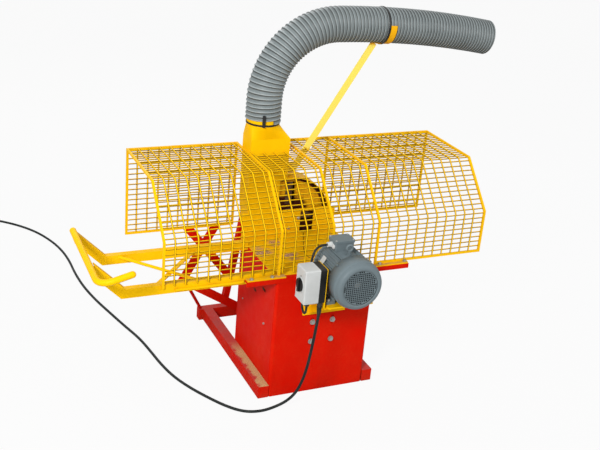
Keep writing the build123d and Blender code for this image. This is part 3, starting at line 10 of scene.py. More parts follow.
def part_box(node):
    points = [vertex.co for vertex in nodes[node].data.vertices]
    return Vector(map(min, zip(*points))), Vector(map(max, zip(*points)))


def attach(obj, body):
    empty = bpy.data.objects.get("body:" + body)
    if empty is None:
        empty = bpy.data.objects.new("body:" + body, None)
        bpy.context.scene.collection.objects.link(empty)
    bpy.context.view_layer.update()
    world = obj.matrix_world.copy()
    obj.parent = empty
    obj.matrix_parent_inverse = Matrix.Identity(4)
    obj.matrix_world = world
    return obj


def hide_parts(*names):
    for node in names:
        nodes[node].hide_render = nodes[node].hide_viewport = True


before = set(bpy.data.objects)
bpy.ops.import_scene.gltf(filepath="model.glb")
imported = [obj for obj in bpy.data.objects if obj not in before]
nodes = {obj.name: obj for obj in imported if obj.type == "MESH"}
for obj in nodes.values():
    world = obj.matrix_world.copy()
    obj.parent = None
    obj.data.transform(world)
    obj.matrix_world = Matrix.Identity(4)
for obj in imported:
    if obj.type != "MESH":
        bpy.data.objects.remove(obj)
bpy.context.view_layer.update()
MM = 0.001

# Camera, as fitted to the photograph
CAMERA_PLACE = (-1.8741, -3.9895, 2.5212)
CAMERA_AZIMUTH = -25.868
CAMERA_ELEVATION = 22.973
CAMERA_ROLL = 5.092
CAMERA_LENS = 59.94
CAMERA_SENSOR = 36.0
CAMERA_FAR = 100.0

# Light and floor in metres; each lamp has a place, a target, a size and a power
WHITE = (1.0, 1.0, 1.0, 1.0)
FILL_COLOUR = (0.97, 0.985, 1.0, 1.0)
FILL_STRENGTH = 0.6
LAMPS = {
    "key": ((-3.9, -4.1, 3.9), (0.0, -0.2, 0.7), 1.2, 320.0),
    "side": ((3.6, -3.0, 3.0), (0.1, 0.0, 0.8), 2.4, 40.0),
    "rear": ((0.5, 4.0, 3.6), (0.0, 0.0, 0.8), 2.6, 50.0),
}
FLOOR_HALF = 30.0
FLOOR_Z = -0.001
FLOOR_GREY = (0.5, 0.5, 0.5, 1.0)
FLOOR_GLOW = 0.93

# Sizes shared with the CAD source, in millimetres
AXIS_Z = 680.0
CASING_MID_Y = 52.5
COLLAR_X = -150.0
HOSE_START_Z = 1175.0
HOSE_RISE = 87.0
HOSE_BEND_R = 340.0
HOSE_RUN_R = 4600.0
HOSE_RUN_DEG = 10.1
HOSE_BORE_R = 75.4
HOSE_ROOT_R = 78.0
HOSE_CREST_R = 82.5
FAN_COVER_R = 110.0
FAN_END_Y = -756.0
FRAME_BACK_Y = -664.0
CORD_R = 6.5
CABLE_R = 5.0
CORD_EXIT = (-137.0, -664.0, 566.0)
CABLE_EXIT = (-67.0, -546.0, 794.28)
CABLE_END = (-186.0, -640.0, 566.0)
CABLE_POINTS = [
    (-96.0, -546.0, 794.28), (-124.0, -549.0, 779.0), (-139.0, -557.0, 742.0), (-148.0, -564.0, 694.0),
    (-157.0, -567.0, 642.0), (-166.0, -568.0, 589.0), (-174.0, -569.5, 537.0), (-178.0, -590.0, 516.0),
    (-183.0, -620.0, 516.0), (-186.0, -640.0, 537.0),
]
CORD_POINTS = [
    (-137.0, -664.0, 520.0), (-143.0, -660.0, 440.0), (-149.0, -651.0, 340.0), (-155.0, -630.0, 220.0),
    (-166.0, -592.0, 112.0), (-192.0, -553.0, 40.0), (-246.0, -538.0, 6.7), (-320.0, -552.0, 6.7),
    (-394.0, -532.0, 6.7), (-455.0, -466.0, 6.7), (-510.0, -375.0, 6.7), (-562.0, -275.0, 6.7),
    (-604.0, -165.0, 6.7), (-628.0, -45.0, 6.7), (-642.0, 85.0, 6.7), (-660.0, 220.0, 6.7),
    (-698.0, 360.0, 6.7), (-734.0, 510.0, 6.7), (-772.0, 670.0, 6.7), (-799.0, 840.0, 6.7),
    (-808.0, 1010.0, 6.7), (-804.0, 1180.0, 6.7), (-818.0, 1340.0, 6.7), (-856.0, 1490.0, 6.7),
    (-916.0, 1630.0, 6.7), (-1000.0, 1745.0, 6.7), (-1092.0, 1830.0, 6.7), (-1190.0, 1905.0, 6.7),
]
COIL_R = 84.0
COIL_STEP = 14.2
COIL_LAYER = 13.8
COIL_HALF_TURNS = 3
COIL_TAIL = 45.0
COIL_POINTS_PER_HALF = 8

# Where a look sets in and where it is full, in metres
SPLASH_Z = (0.22, 0.0)
SPATTER_Z = (0.86, 0.70)
DRUM_WALL_R = (0.2066, 0.2056)
DRUM_FRONT_Y = (0.004, 0.005)
DRUM_BACK_Y = (0.1035, 0.1025)
GUARD_TOP_Z = (0.995, 1.01)
HOOK_Z = (1.500, 1.512)
FOOT_BAND_Y = ((-0.02, -0.12), (-0.475, -0.44))
FOOT_BAND_X = (-0.282, -0.270)
LEFT_FOOT_X = (0.1, 0.0)
# Knife disc: resin and painted shade towards the hub, painted shadow at the rim, painted shade on the lower
# right part
DISC_HUB_R = (0.128, 0.104)
DISC_RIM_R = (0.183, 0.188)
DISC_SHADE_Z = (0.722, 0.712)
DISC_SHADE_X = (0.02, 0.04)
GLAND_X = (-0.11, -0.10)

# Spots of sawdust on the deck: x, y and radius in metres
DECK_SPOTS = ((-0.203, -0.169, 0.06), (-0.105, -0.09, 0.05), (-0.093, -0.241, 0.05), (0.2, -0.2, 0.07))

# Range that most of a noise lies in
NOISE_RANGE = (0.3, 0.7)

# Signs of a square's corners, in turn
QUARTERS = ((1, 1), (-1, 1), (-1, -1), (1, -1))

# Colour sockets of the mix node
MIX_FIRST = 6
MIX_SECOND = 7
MIX_RESULT = 2

# Mesh attribute that takes the hose's painted highlight and shadow to its material
HOSE_LIGHT_AND_SHADE = "hose_light_and_shade"


# Shader nodes


def feed(tree, socket, value):
    """Link an output to an input, or set a plain value."""
    if hasattr(value, "is_output"):
        tree.links.new(value, socket)
    else:
        socket.default_value = value


def add_node(tree, kind, feeds=None, **settings):
    """Outputs of a new shader node with its settings made and its inputs fed."""
    made = tree.nodes.new("ShaderNode" + kind)
    for key, value in settings.items():
        setattr(made, key, value)
    for key, value in (feeds or {}).items():
        feed(tree, made.inputs[key], value)
    return made.outputs


def show_mix(tree, output, share, under, over):
    """Send two shaders to a new output; share is how much of the second one shows."""
    mix = add_node(tree, "MixShader", {0: share, 1: under[0], 2: over[0]})
    add_node(tree, output, {"Surface": mix[0]})


# Camera and light


def set_camera():
    """Camera at the photograph's place and angle."""
    data = bpy.data.cameras.new("camera")
    data.lens = CAMERA_LENS
    data.sensor_width = CAMERA_SENSOR
    data.clip_end = CAMERA_FAR
    camera = bpy.data.objects.new("camera", data)
    place = Matrix.Translation(CAMERA_PLACE)
    for degrees, axis in ((CAMERA_AZIMUTH, "Z"), (90.0 - CAMERA_ELEVATION, "X"), (CAMERA_ROLL, "Z")):
        place = place @ Matrix.Rotation(math.radians(degrees), 4, axis)
    camera.matrix_world = place
    bpy.context.collection.objects.link(camera)
    bpy.context.scene.camera = camera


def add_lamp(name, place, target, size, power):
    """A soft white area lamp that looks at a target."""
    data = bpy.data.lights.new(name, "AREA")
    data.shape = "DISK"
    data.size = size
    data.energy = power
    lamp = bpy.data.objects.new(name, data)
    lamp.location = place
    aim = Vector(target) - Vector(place)
    lamp.rotation_euler = aim.to_track_quat("-Z", "Y").to_euler()
    bpy.context.collection.objects.link(lamp)


def set_light():
    """Lamps, and a white surround that lights the machine with less than its full strength."""
    scene = bpy.context.scene
    scene.view_settings.view_transform = "Standard"
    scene.world = bpy.data.worlds.new("studio")
    scene.world.use_nodes = True
    tree = scene.world.node_tree
    tree.nodes.clear()
    rays = add_node(tree, "LightPath")
    share = rays["Is Camera Ray"]
    for ray in ("Is Glossy Ray", "Is Transmission Ray"):
        share = add_node(tree, "Math", {0: share, 1: rays[ray]}, operation="MAXIMUM")[0]
    fill = add_node(tree, "Background", {"Color": FILL_COLOUR, "Strength": FILL_STRENGTH})
    seen = add_node(tree, "Background", {"Color": WHITE, "Strength": 1.0})
    show_mix(tree, "OutputWorld", share, fill, seen)
    for name, settings in LAMPS.items():
        add_lamp(name, *settings)


def add_floor():
    """A pale floor that stays white for the camera and keeps a soft shadow."""
    mesh = bpy.data.meshes.new("floor")
    corners = [(a * FLOOR_HALF, b * FLOOR_HALF, FLOOR_Z) for a, b in QUARTERS]
    mesh.from_pydata(corners, [], [(0, 1, 2, 3)])
    floor = bpy.data.objects.new("floor", mesh)
    bpy.context.collection.objects.link(floor)
    material = bpy.data.materials.new("floor")
    material.use_nodes = True
    tree = material.node_tree
    tree.nodes.clear()
    ray = add_node(tree, "LightPath")["Is Camera Ray"]
    share = add_node(tree, "Math", {0: ray, 1: FLOOR_GLOW}, operation="MULTIPLY")[0]
    matt = add_node(tree, "BsdfDiffuse", {"Color": FLOOR_GREY})
    glow = add_node(tree, "Emission", {"Color": WHITE, "Strength": 1.0})
    show_mix(tree, "OutputMaterial", share, matt, glow)
    mesh.materials.append(material)


# Materials


class Surface:
    """A procedural material, built up node by node."""

    def __init__(self, name):
        self.material = bpy.data.materials.new(name)
        self.material.use_nodes = True
        self.tree = self.material.node_tree
        self.shader = self.tree.nodes["Principled BSDF"]
        self.place = self.node("TexCoord")["Object"]
        self.normal = None

    def node(self, kind, feeds=None, **settings):
        return add_node(self.tree, kind, feeds, **settings)

    def noise(self, scale, detail=4.0, rough=0.55, stretch=(1.0, 1.0, 1.0)):
        """A noise value from 0 to 1, with its own stretch."""
        place = self.node("Mapping", {"Vector": self.place, "Scale": stretch})["Vector"]
        feeds = {"Vector": place, "Scale": scale, "Detail": detail, "Roughness": rough}
        return self.node("TexNoise", feeds)["Fac"]

    def ramp(self, value, low, high, start=0.0, end=1.0):
        """A value mapped from low..high to start..end, clamped."""
        feeds = {"Value": value, "From Min": low, "From Max": high, "To Min": start, "To Max": end}
        return self.node("MapRange", feeds, clamp=True)["Result"]

    def spread(self, noise, start=0.0, end=1.0):
        """The range that most of a noise lies in, mapped to start..end."""
        return self.ramp(noise, *NOISE_RANGE, start, end)

    def math(self, operation, a, b=0.0):
        return self.node("Math", {0: a, 1: b}, operation=operation)["Value"]

    def times(self, first, *others):
        """Product of values."""
        for other in others:
            first = self.math("MULTIPLY", first, other)
        return first

    def away(self, first, second):
        """Distance that two offsets at right angles make."""
        squares = [self.math("POWER", offset, 2.0) for offset in (first, second)]
        return self.math("SQRT", self.math("ADD", *squares))

    def mix(self, factor, a, b):
        """Mix two colours."""
        feeds = {"Factor": factor, MIX_FIRST: a, MIX_SECOND: b}
        return self.node("Mix", feeds, data_type="RGBA")[MIX_RESULT]

    def axis(self, name):
        """One coordinate of the place."""
        return self.node("SeparateXYZ", {"Vector": self.place})[name]

    def facing(self, name):
        """One coordinate of the surface's direction."""
        normal = self.node("NewGeometry")["Normal"]
        return self.node("SeparateXYZ", {"Vector": normal})[name]

    def facing_up(self):
        """1 on surfaces that look up, 0 on the others."""
        return self.ramp(self.facing("Z"), 0.55, 0.9)

    def edges(self, radius):
        """Near 1 along sharp outer edges."""
        rounded = self.node("Bevel", {"Radius": radius}, samples=4)["Normal"]
        normal = self.node("NewGeometry")["Normal"]
        dot = self.node("VectorMath", {0: rounded, 1: normal}, operation="DOT_PRODUCT")
        return self.ramp(dot["Value"], 0.97, 0.80)

    def corners(self, distance):
        """Near 1 in inside corners and crevices."""
        shade = self.node("AmbientOcclusion", {"Distance": distance}, samples=4)
        return self.ramp(shade["AO"], 0.85, 0.35)

    def bump(self, height, strength, distance):
        """Add a bump layer to the shader's normal."""
        feeds = {"Height": height, "Strength": strength, "Distance": distance}
        if self.normal is not None:
            feeds["Normal"] = self.normal
        self.normal = self.node("Bump", feeds)["Normal"]

    def finish(self, colour, rough, height, strength, distance, gloss=0.5, metal=0.0):
        """Add the last bump layer and feed the shader."""
        self.bump(height, strength, distance)
        feeds = {"Base Color": colour, "Roughness": rough, "Normal": self.normal,
                 "Specular IOR Level": gloss, "Metallic": metal}
        for key, value in feeds.items():
            feed(self.tree, self.shader.inputs[key], value)
        return self.material


def srgb(red, green, blue):
    """An sRGB colour of 0 to 255 as the linear colour that shaders use."""
    def linear(value):
        value = value / 255.0
        return value / 12.92 if value <= 0.04045 else ((value + 0.055) / 1.055) ** 2.4
    return (linear(red), linear(green), linear(blue), 1.0)


def toned(colour, factor):
    """A colour made lighter or darker by a factor."""
    return tuple(min(1.0, c * factor) for c in colour[:3]) + (1.0,)


# Dark olive of the painted shade on the guard's wires
WIRE_SHADE = srgb(86, 72, 28)


def painted(name, base, worn=(110, 88, 60), dirt=(120, 82, 22), rough=0.45, grime_and_shade=0.5, chips=0.35,
            dust=None, haze=None, low_dirt=0.0, gloss=0.07, layers=None):
    """Sprayed paint on steel: slight colour drift, orange peel, worn edges, dirt and painted shade in
    corners.

    dust is a colour and a strength for what lies on level faces, haze the same for a thin film all over.
    low_dirt is the strength of the splashes near the floor.
    layers is a function that adds to the surface and its colour.
    """
    s = Surface(name)
    base = srgb(*base)
    colour = s.mix(s.spread(s.noise(3.1, 5.0)), toned(base, 0.90), toned(base, 1.05))
    speckle = s.ramp(s.noise(160.0, 3.0), 0.62, 0.78, 0.0, 0.3)
    colour = s.mix(speckle, colour, toned(base, 0.8))
    if haze:
        film = s.times(s.ramp(s.noise(5.0, 7.0, 0.66), 0.38, 0.68), s.spread(s.noise(90.0, 4.0)), haze[1])
        colour = s.mix(film, colour, srgb(*haze[0]))
    # Ambient occlusion marks corners and crevices: dirt, and painted shade where shade falls
    soil_and_shade = s.times(s.corners(0.05), s.ramp(s.noise(14.0, 6.0), 0.35, 0.65), grime_and_shade)
    if low_dirt:
        near_floor = s.ramp(s.axis("Z"), *SPLASH_Z)
        splash = s.times(near_floor, s.ramp(s.noise(9.0, 8.0, 0.7), 0.42, 0.62), low_dirt)
        soil_and_shade = s.math("MAXIMUM", soil_and_shade, splash)
    # The dirt colour here paints real dirt and the painted shade in corners
    colour = s.mix(soil_and_shade, colour, srgb(*dirt))
    if dust:
        heap = s.times(s.facing_up(), s.ramp(s.noise(11.0, 9.0, 0.72), 0.40, 0.56), dust[1])
        colour = s.mix(heap, colour, srgb(*dust[0]))
    if layers:
        colour = layers(s, colour)
    rub = s.times(s.edges(0.0016), s.ramp(s.noise(34.0, 6.0, 0.7), 0.52, 0.66), chips)
    colour = s.mix(rub, colour, srgb(*worn))
    uneven = s.spread(s.noise(21.0, 5.0), rough - 0.06, rough + 0.10)
    uneven = s.math("ADD", uneven, s.times(soil_and_shade, 0.3))
    s.bump(s.noise(420.0, 2.0), 0.06, 0.0006)
    return s.finish(colour, uneven, s.noise(26.0, 3.0), 0.05, 0.003, gloss)


def spatter(s, colour):
    """Chips of bark and resin that stick to the paint near the knives."""
    grains = s.times(s.ramp(s.noise(130.0, 5.0, 0.75), 0.56, 0.64), s.ramp(s.noise(9.0, 4.0), 0.36, 0.6))
    low = s.ramp(s.axis("Z"), *SPATTER_Z)
    colour = s.mix(s.times(grains, low, 0.6), colour, srgb(112, 76, 26))
    streak = s.ramp(s.noise(28.0, 7.0, 0.7, (1.0, 1.0, 0.35)), 0.55, 0.72, 0.0, 0.2)
    return s.mix(s.times(streak, low), colour, srgb(168, 118, 14))


def patches(s, spots):
    """1 inside soft round spots with ragged edges, each an x, a y and a radius in metres."""
    wander = s.spread(s.noise(22.0, 7.0, 0.72), -0.03, 0.03)
    total = 0.0
    for x, y, radius in spots:
        offsets = [s.math("SUBTRACT", s.axis(name), place) for name, place in (("X", x), ("Y", y))]
        ragged = s.math("ADD", s.away(*offsets), wander)
        total = s.math("MAXIMUM", s.ramp(ragged, radius, radius * 0.4), total)
    return total


def deck_layers(s, colour):
    """Sawdust in patches on the deck, and chips that stick to it."""
    colour = spatter(s, colour)
    cover = s.ramp(s.noise(60.0, 5.0, 0.7), 0.38, 0.52, 0.35, 1.0)
    heap = s.times(s.facing_up(), patches(s, DECK_SPOTS), cover)
    grains = s.ramp(s.noise(170.0, 5.0, 0.7), 0.42, 0.58)
    return s.mix(heap, colour, s.mix(grains, srgb(128, 86, 68), srgb(214, 176, 156)))


def axis_reach(s):
    """Distance from the spindle's axis."""
    return s.away(s.axis("X"), s.math("SUBTRACT", s.axis("Z"), AXIS_Z * MM))


def drum_layers(s, colour):
    """Spatter on the casing's outside, painted shade on the drum's inside."""
    colour = spatter(s, colour)
    # Dark brown painted shade on the drum's inner wall and back, mottled by a noise
    inside = s.times(
        s.ramp(axis_reach(s), *DRUM_WALL_R),
        s.ramp(s.axis("Y"), *DRUM_FRONT_Y),
        s.ramp(s.axis("Y"), *DRUM_BACK_Y),
        s.ramp(s.noise(18.0, 6.0), 0.3, 0.6, 0.75, 1.0),
    )
    return s.mix(inside, colour, srgb(66, 26, 8))


def column_layers(s, colour):
    """Painted shade on the undersides and both flanks of the wires that follow the guard's section."""
    flank = s.math("ABSOLUTE", s.math("ADD", s.facing("X"), 0.2))
    painted_shade = s.math("MAXIMUM", s.ramp(flank, 0.45, 0.68), s.ramp(s.facing("Z"), -0.1, -0.5))
    painted_shade = s.times(painted_shade, s.ramp(s.axis("Z"), *GUARD_TOP_Z, 0.85, 0.6))
    return s.mix(painted_shade, colour, WIRE_SHADE)


def row_layers(s, colour):
    """Painted shade on the lower half of the wires that run along the guard."""
    return s.mix(s.ramp(s.facing("Z"), 0.65, 0.1, 0.0, 0.85), colour, WIRE_SHADE)


def hook_tint(s, colour):
    """Deeper yellow on the hook that holds the hose."""
    return s.mix(s.ramp(s.axis("Z"), *HOOK_Z), colour, srgb(238, 172, 16))


def foot_layers(s, colour):
    """Dull film of dust and painted shade on the top faces, and a band of sawdust along the cabinet."""
    up = s.facing_up()
    # Purplish film on faces that look up: dust and painted shade on the tops of the feet and the rear cross
    # tube
    film = s.times(up, s.ramp(s.noise(24.0, 6.0), 0.3, 0.65, 0.35, 0.75))
    colour = s.mix(film, colour, srgb(166, 80, 76))
    along = s.times(*(s.ramp(s.axis("Y"), *span) for span in FOOT_BAND_Y))
    wander = s.spread(s.noise(26.0, 7.0, 0.75), -0.022, 0.022)
    near = s.ramp(s.math("ADD", s.axis("X"), wander), *FOOT_BAND_X)
    near = s.times(near, s.ramp(s.axis("X"), *LEFT_FOOT_X))
    grains = s.ramp(s.noise(300.0, 4.0, 0.7), 0.36, 0.64)
    return s.mix(s.times(up, along, near), colour, s.mix(grains, srgb(146, 106, 60), srgb(226, 190, 142)))


def disc_paint():
    """Knife disc: worn yellow, dark with resin and painted shade towards the hub, painted shadow along its
    rim and painted shade on its lower right part.
    """
    s = Surface("disc_paint")
    reach = axis_reach(s)
    ragged = s.math("ADD", reach, s.spread(s.noise(16.0, 7.0, 0.7), -0.02, 0.02))
    colour = s.mix(s.spread(s.noise(9.0, 6.0)), srgb(226, 164, 6), srgb(250, 190, 8))
    scrape = s.ramp(s.noise(40.0, 6.0, 0.7, (1.0, 1.0, 0.2)), 0.55, 0.7, 0.0, 0.5)
    colour = s.mix(scrape, colour, srgb(160, 104, 16))
    # Dark towards the hub is resin and painted shade, dark at the rim is the drum rim's painted shadow
    resin = s.math("MAXIMUM", s.ramp(ragged, *DISC_HUB_R), s.ramp(reach, *DISC_RIM_R))
    # Painted shade on the disc's lower right part, seen through the front plate's window
    below = s.times(s.ramp(s.axis("Z"), *DISC_SHADE_Z), s.ramp(s.axis("X"), *DISC_SHADE_X))
    colour = s.mix(s.math("MAXIMUM", resin, below), colour, srgb(66, 22, 8))
    return s.finish(colour, s.spread(s.noise(50.0), 0.45, 0.65), s.noise(70.0, 5.0), 0.2, 0.001, gloss=0.15)


def knife_steel():
    """Steel of the knives under a dark film."""
    s = Surface("stained_steel")
    film = s.ramp(s.noise(34.0, 6.0, 0.7), 0.3, 0.62)
    colour = s.mix(film, srgb(126, 112, 98), srgb(64, 34, 18))
    return s.finish(colour, s.ramp(film, 0.0, 1.0, 0.32, 0.6), film, 0.1, 0.0005, metal=0.6)


def hose_plastic():
    """Grey plastic of the hose: painted highlight on the ridge, blotched wall and painted shadow in the
    folds, by the mesh's tone attribute.
    """
    s = Surface("hose_plastic")
    web = s.noise(260.0, 3.0)
    wall = s.mix(s.ramp(s.noise(7.0, 6.0), 0.32, 0.68), srgb(106, 114, 115), srgb(126, 134, 135))
    wall = s.mix(s.ramp(web, 0.55, 0.75, 0.0, 0.35), wall, srgb(168, 174, 174))
    tone = s.node("Attribute", attribute_name=HOSE_LIGHT_AND_SHADE)["Fac"]
    # Painted shadow under the ridge where the tone is low, painted highlight on the ridge where it is high
    colour = s.mix(s.ramp(tone, 0.0, 0.5), srgb(44, 45, 42), wall)
    colour = s.mix(s.ramp(tone, 0.6, 1.0, 0.0, 0.7), colour, srgb(170, 178, 178))
    return s.finish(colour, s.spread(web, 0.36, 0.52), web, 0.15, 0.0006, gloss=0.3)


def black_plastic():
    """Dark plastic of the switch's base, the knob, the fan and the plug."""
    s = Surface("black_plastic")
    grain = s.noise(480.0, 3.0)
    colour = s.mix(s.ramp(s.noise(12.0), 0.35, 0.7), srgb(14, 14, 14), srgb(30, 29, 28))
    return s.finish(colour, s.spread(grain, 0.36, 0.55), grain, 0.16, 0.0005, gloss=0.25)


def black_rubber():
    """Dusty rubber of the cords and belts."""
    s = Surface("black_rubber")
    grain = s.noise(300.0, 4.0)
    dusty = s.ramp(s.noise(18.0, 6.0), 0.5, 0.75, 0.0, 0.6)
    colour = s.mix(dusty, srgb(30, 34, 33), srgb(62, 66, 64))
    return s.finish(colour, s.spread(grain, 0.5, 0.72), grain, 0.2, 0.0005, gloss=0.2)


def light_plastic():
    """Pale plastic of the switch's cover, with specks of dirt."""
    s = Surface("light_plastic")
    colour = s.mix(s.spread(s.noise(9.0, 5.0)), srgb(182, 184, 182), srgb(198, 199, 197))
    specks = s.ramp(s.noise(120.0, 4.0, 0.7), 0.66, 0.74, 0.0, 0.35)
    colour = s.mix(specks, colour, srgb(176, 160, 132))
    return s.finish(colour, s.spread(s.noise(60.0), 0.4, 0.52), s.noise(700.0, 2.0), 0.1, 0.0003, gloss=0.2)


def gland_plastic():
    """Cable glands: dark under the switch, pale at the terminal box."""
    s = Surface("gland_plastic")
    colour = s.mix(s.ramp(s.axis("X"), *GLAND_X), srgb(38, 38, 37), srgb(206, 208, 206))
    return s.finish(colour, s.spread(s.noise(90.0), 0.36, 0.5), s.noise(420.0), 0.1, 0.0003)


def grained(name, dark, pale, tone, rough, bump, rough_noise=None, bump_noise=None, **shine):
    """Two colours by a noise, which sets roughness and bump too where these have no noise of their own."""
    s = Surface(name)
    mixed = s.noise(*tone)
    uneven = s.noise(*rough_noise) if rough_noise else mixed
    raised = s.noise(*bump_noise) if bump_noise else mixed
    colour = s.mix(mixed, srgb(*dark), srgb(*pale))
    return s.finish(colour, s.spread(uneven, *rough), raised, *bump, **shine)


def make_paints():
    """Painted finishes, by name."""
    wire = {"grime_and_shade": 0.2, "chips": 0.15, "gloss": 0.04}
    red = {"worn": (70, 20, 14), "gloss": 0.04}
    return {
        "yellow": painted("yellow_paint", (250, 193, 2)),
        "column": painted("column_wire", (254, 198, 3), **wire, layers=column_layers),
        # Rows: a darker copy of the columns' wire yellow, as painted shade
        "row": painted("row_wire", (240, 186, 8), **wire, layers=row_layers),
        "casing": painted("casing_yellow", (252, 194, 3), grime_and_shade=0.4, chips=0.4, layers=drum_layers),
        "deck": painted("deck_yellow", (252, 194, 4), dirt=(150, 104, 24), rough=0.55, grime_and_shade=0.4,
                        chips=0.4, layers=deck_layers),
        "dusty": painted("dusty_yellow", (246, 188, 6), rough=0.5, chips=0.3, dust=((176, 138, 92), 0.8)),
        "pale": painted("pale_yellow", (252, 226, 100), grime_and_shade=0.2, chips=0.2, layers=hook_tint),
        "red": painted("red_paint", (210, 17, 0), **red, dirt=(110, 30, 16), rough=0.42, grime_and_shade=0.35,
                       chips=0.3, haze=((214, 70, 34), 0.3), low_dirt=0.15),
        "red_foot": painted("red_foot", (208, 20, 2), **red, dirt=(130, 60, 40), rough=0.5, grime_and_shade=0.4,
                            chips=0.4, haze=((204, 80, 50), 0.3), low_dirt=0.2, layers=foot_layers),
        "motor": painted("motor_paint", (108, 120, 124), (70, 72, 72), (60, 62, 60), rough=0.42,
                         grime_and_shade=0.35, chips=0.25, gloss=0.16),
        "disc": disc_paint(),
    }


def make_plain():
    """Finishes without paint, by name."""
    return {
        "steel": grained("bare_steel", (150, 148, 144), (198, 196, 190),
                         (60.0, 3.0, 0.55, (1.0, 12.0, 1.0)), (0.24, 0.42), (0.08, 0.0005),
                         rough_noise=(90.0,), metal=1.0),
        "cast": grained("cast_iron", (58, 60, 62), (96, 98, 100), (240.0, 4.0, 0.7), (0.5, 0.75),
                        (0.35, 0.001), metal=0.7),
        "zinc": grained("zinc_plate", (150, 150, 146), (205, 205, 200), (70.0, 5.0), (0.28, 0.48),
                        (0.1, 0.0004), bump_noise=(300.0,), metal=0.9),
        "plate": grained("plate_metal", (166, 168, 166), (196, 198, 196), (50.0, 4.0), (0.35, 0.5),
                         (0.08, 0.0003), bump_noise=(300.0,), gloss=0.3),
        "mark": grained("dark_mark", (46, 22, 8), (92, 46, 14), (90.0, 5.0), (0.6, 0.8), (0.2, 0.0005),
                        gloss=0.15),
        "tie": grained("tie_plastic", (9, 9, 9), (24, 24, 24), (80.0,), (0.3, 0.5), (0.1, 0.0003),
                       rough_noise=(200.0,), bump_noise=(600.0,)),
        "knife": knife_steel(),
        "hose": hose_plastic(),
        "black": black_plastic(),
        "rubber": black_rubber(),
        "light": light_plastic(),
        "gland": gland_plastic(),
    }


# Mesh helpers

# Points this close are joined, in millimetres
WELD = 0.01


def finish_piece(name, bm, material, node=None, smooth=True):
    """Turn a bmesh in millimetres into a piece of the machine in metres, which may stand for a CAD node."""
    bmesh.ops.recalc_face_normals(bm, faces=bm.faces)
    mesh = bpy.data.meshes.new(name)
    bm.to_mesh(mesh)
    bm.free()
    mesh.transform(Matrix.Scale(MM, 4))
    for face in mesh.polygons:
        face.use_smooth = smooth
    mesh.materials.append(material)
    piece = bpy.data.objects.new(name, mesh)
    bpy.context.collection.objects.link(piece)
    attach(piece, "machine")
    if node:
        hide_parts(node)
    return piece


def thicken(bm, thickness):
    """Give a flat sheet of faces a thickness."""
    bm.normal_update()
    bmesh.ops.solidify(bm, geom=bm.faces[:], thickness=thickness)


def circle(count):
    """Cosine and sine of evenly spaced angles."""
    angles = [2 * math.pi * k / count for k in range(count)]
    return [(math.cos(t), math.sin(t)) for t in angles]


def bridge(bm, low, high):
    """Faces between two closed loops, one of which may be a single point."""
    count = max(len(low), len(high))
    for k in range(count):
        after = (k + 1) % count
        corners = [low[k % len(low)], low[after % len(low)], high[after % len(high)], high[k % len(high)]]
        bm.faces.new(list(dict.fromkeys(corners)))


def capped_skin(bm, loops):
    """Closed skin over a row of loops."""
    for low, high in zip(loops, loops[1:]):
        bridge(bm, low, high)
    bm.faces.new(loops[0][::-1])
    bm.faces.new(loops[-1])


def lathe(bm, start, direction, profile, sides, loop=False, size=1.0):
    """Skin of revolution through pairs of a distance and a radius; loop joins the last to the first."""
    axis = Vector(direction).normalized()
    side = axis.orthogonal().normalized()
    up = axis.cross(side)
    rings = []
    for distance, radius in profile:
        centre = Vector(start) + axis * (distance * size)
        around = [(side * c + up * s) * (radius * size) for c, s in circle(sides if radius else 1)]
        rings.append([bm.verts.new(centre + offset) for offset in around])
    for low, high in zip(rings, rings[1:]):
        bridge(bm, low, high)
    if loop:
        bridge(bm, rings[-1], rings[0])


def rounded_loop(half_u, half_v, radius, steps=5):
    """Points of a rectangle with round corners."""
    points = []
    for quarter, (su, sv) in enumerate(QUARTERS):
        for k in range(steps + 1):
            angle = math.pi / 2 * (quarter + k / steps)
            points.append((su * (half_u - radius) + radius * math.cos(angle),
                           sv * (half_v - radius) + radius * math.sin(angle)))
    return points


def rounded_plate(bm, centre, u, v, half_u, half_v, thickness, corner=3.0, edge=0.5):
    """A plate with round corners and a broken edge that stands on its centre's plane."""
    u = Vector(u).normalized()
    v = Vector(v).normalized()
    out = u.cross(v)
    loops = []
    for height, inset in ((0.0, 0.0), (thickness - edge, 0.0), (thickness, edge)):
        outline = rounded_loop(half_u - inset, half_v - inset, max(corner - inset, 0.2))
        loops.append([bm.verts.new(Vector(centre) + u * a + v * b + out * height) for a, b in outline])
    capped_skin(bm, loops)


# Bolts and screws: distances and radii as shares of the size
WASHER = ((0, 0), (0, 1), (0.16, 1), (0.22, 0.94), (0.22, 0))
HEX_HEAD = ((0.22, 0), (0.22, 0.92), (0.74, 0.92), (0.87, 0.7728), (0.87, 0))
CAP_HEAD = ((0, 0), (0, 1), (0.5, 1), (0.75, 0.8), (0.75, 0.45), (0.4, 0.4), (0.4, 0))


def hex_bolt(bm, place, direction, size):
    """Hexagon head with a chamfered top, on a washer; size is the thread's diameter."""
    lathe(bm, place, direction, WASHER, 24, size=size)
    lathe(bm, place, direction, HEX_HEAD, 6, size=size)


def cap_screw(bm, place, direction, radius):
    """Low round screw head with a round recess."""
    lathe(bm, place, direction, CAP_HEAD, 18, size=radius)


def add_heads(name, head, spots, material):
    """A piece of screws or bolts; each spot is a place, a direction and a size."""
    bm = bmesh.new()
    for spot in spots:
        head(bm, *spot)
    finish_piece(name, bm, material, smooth=head is cap_screw)


# Cords


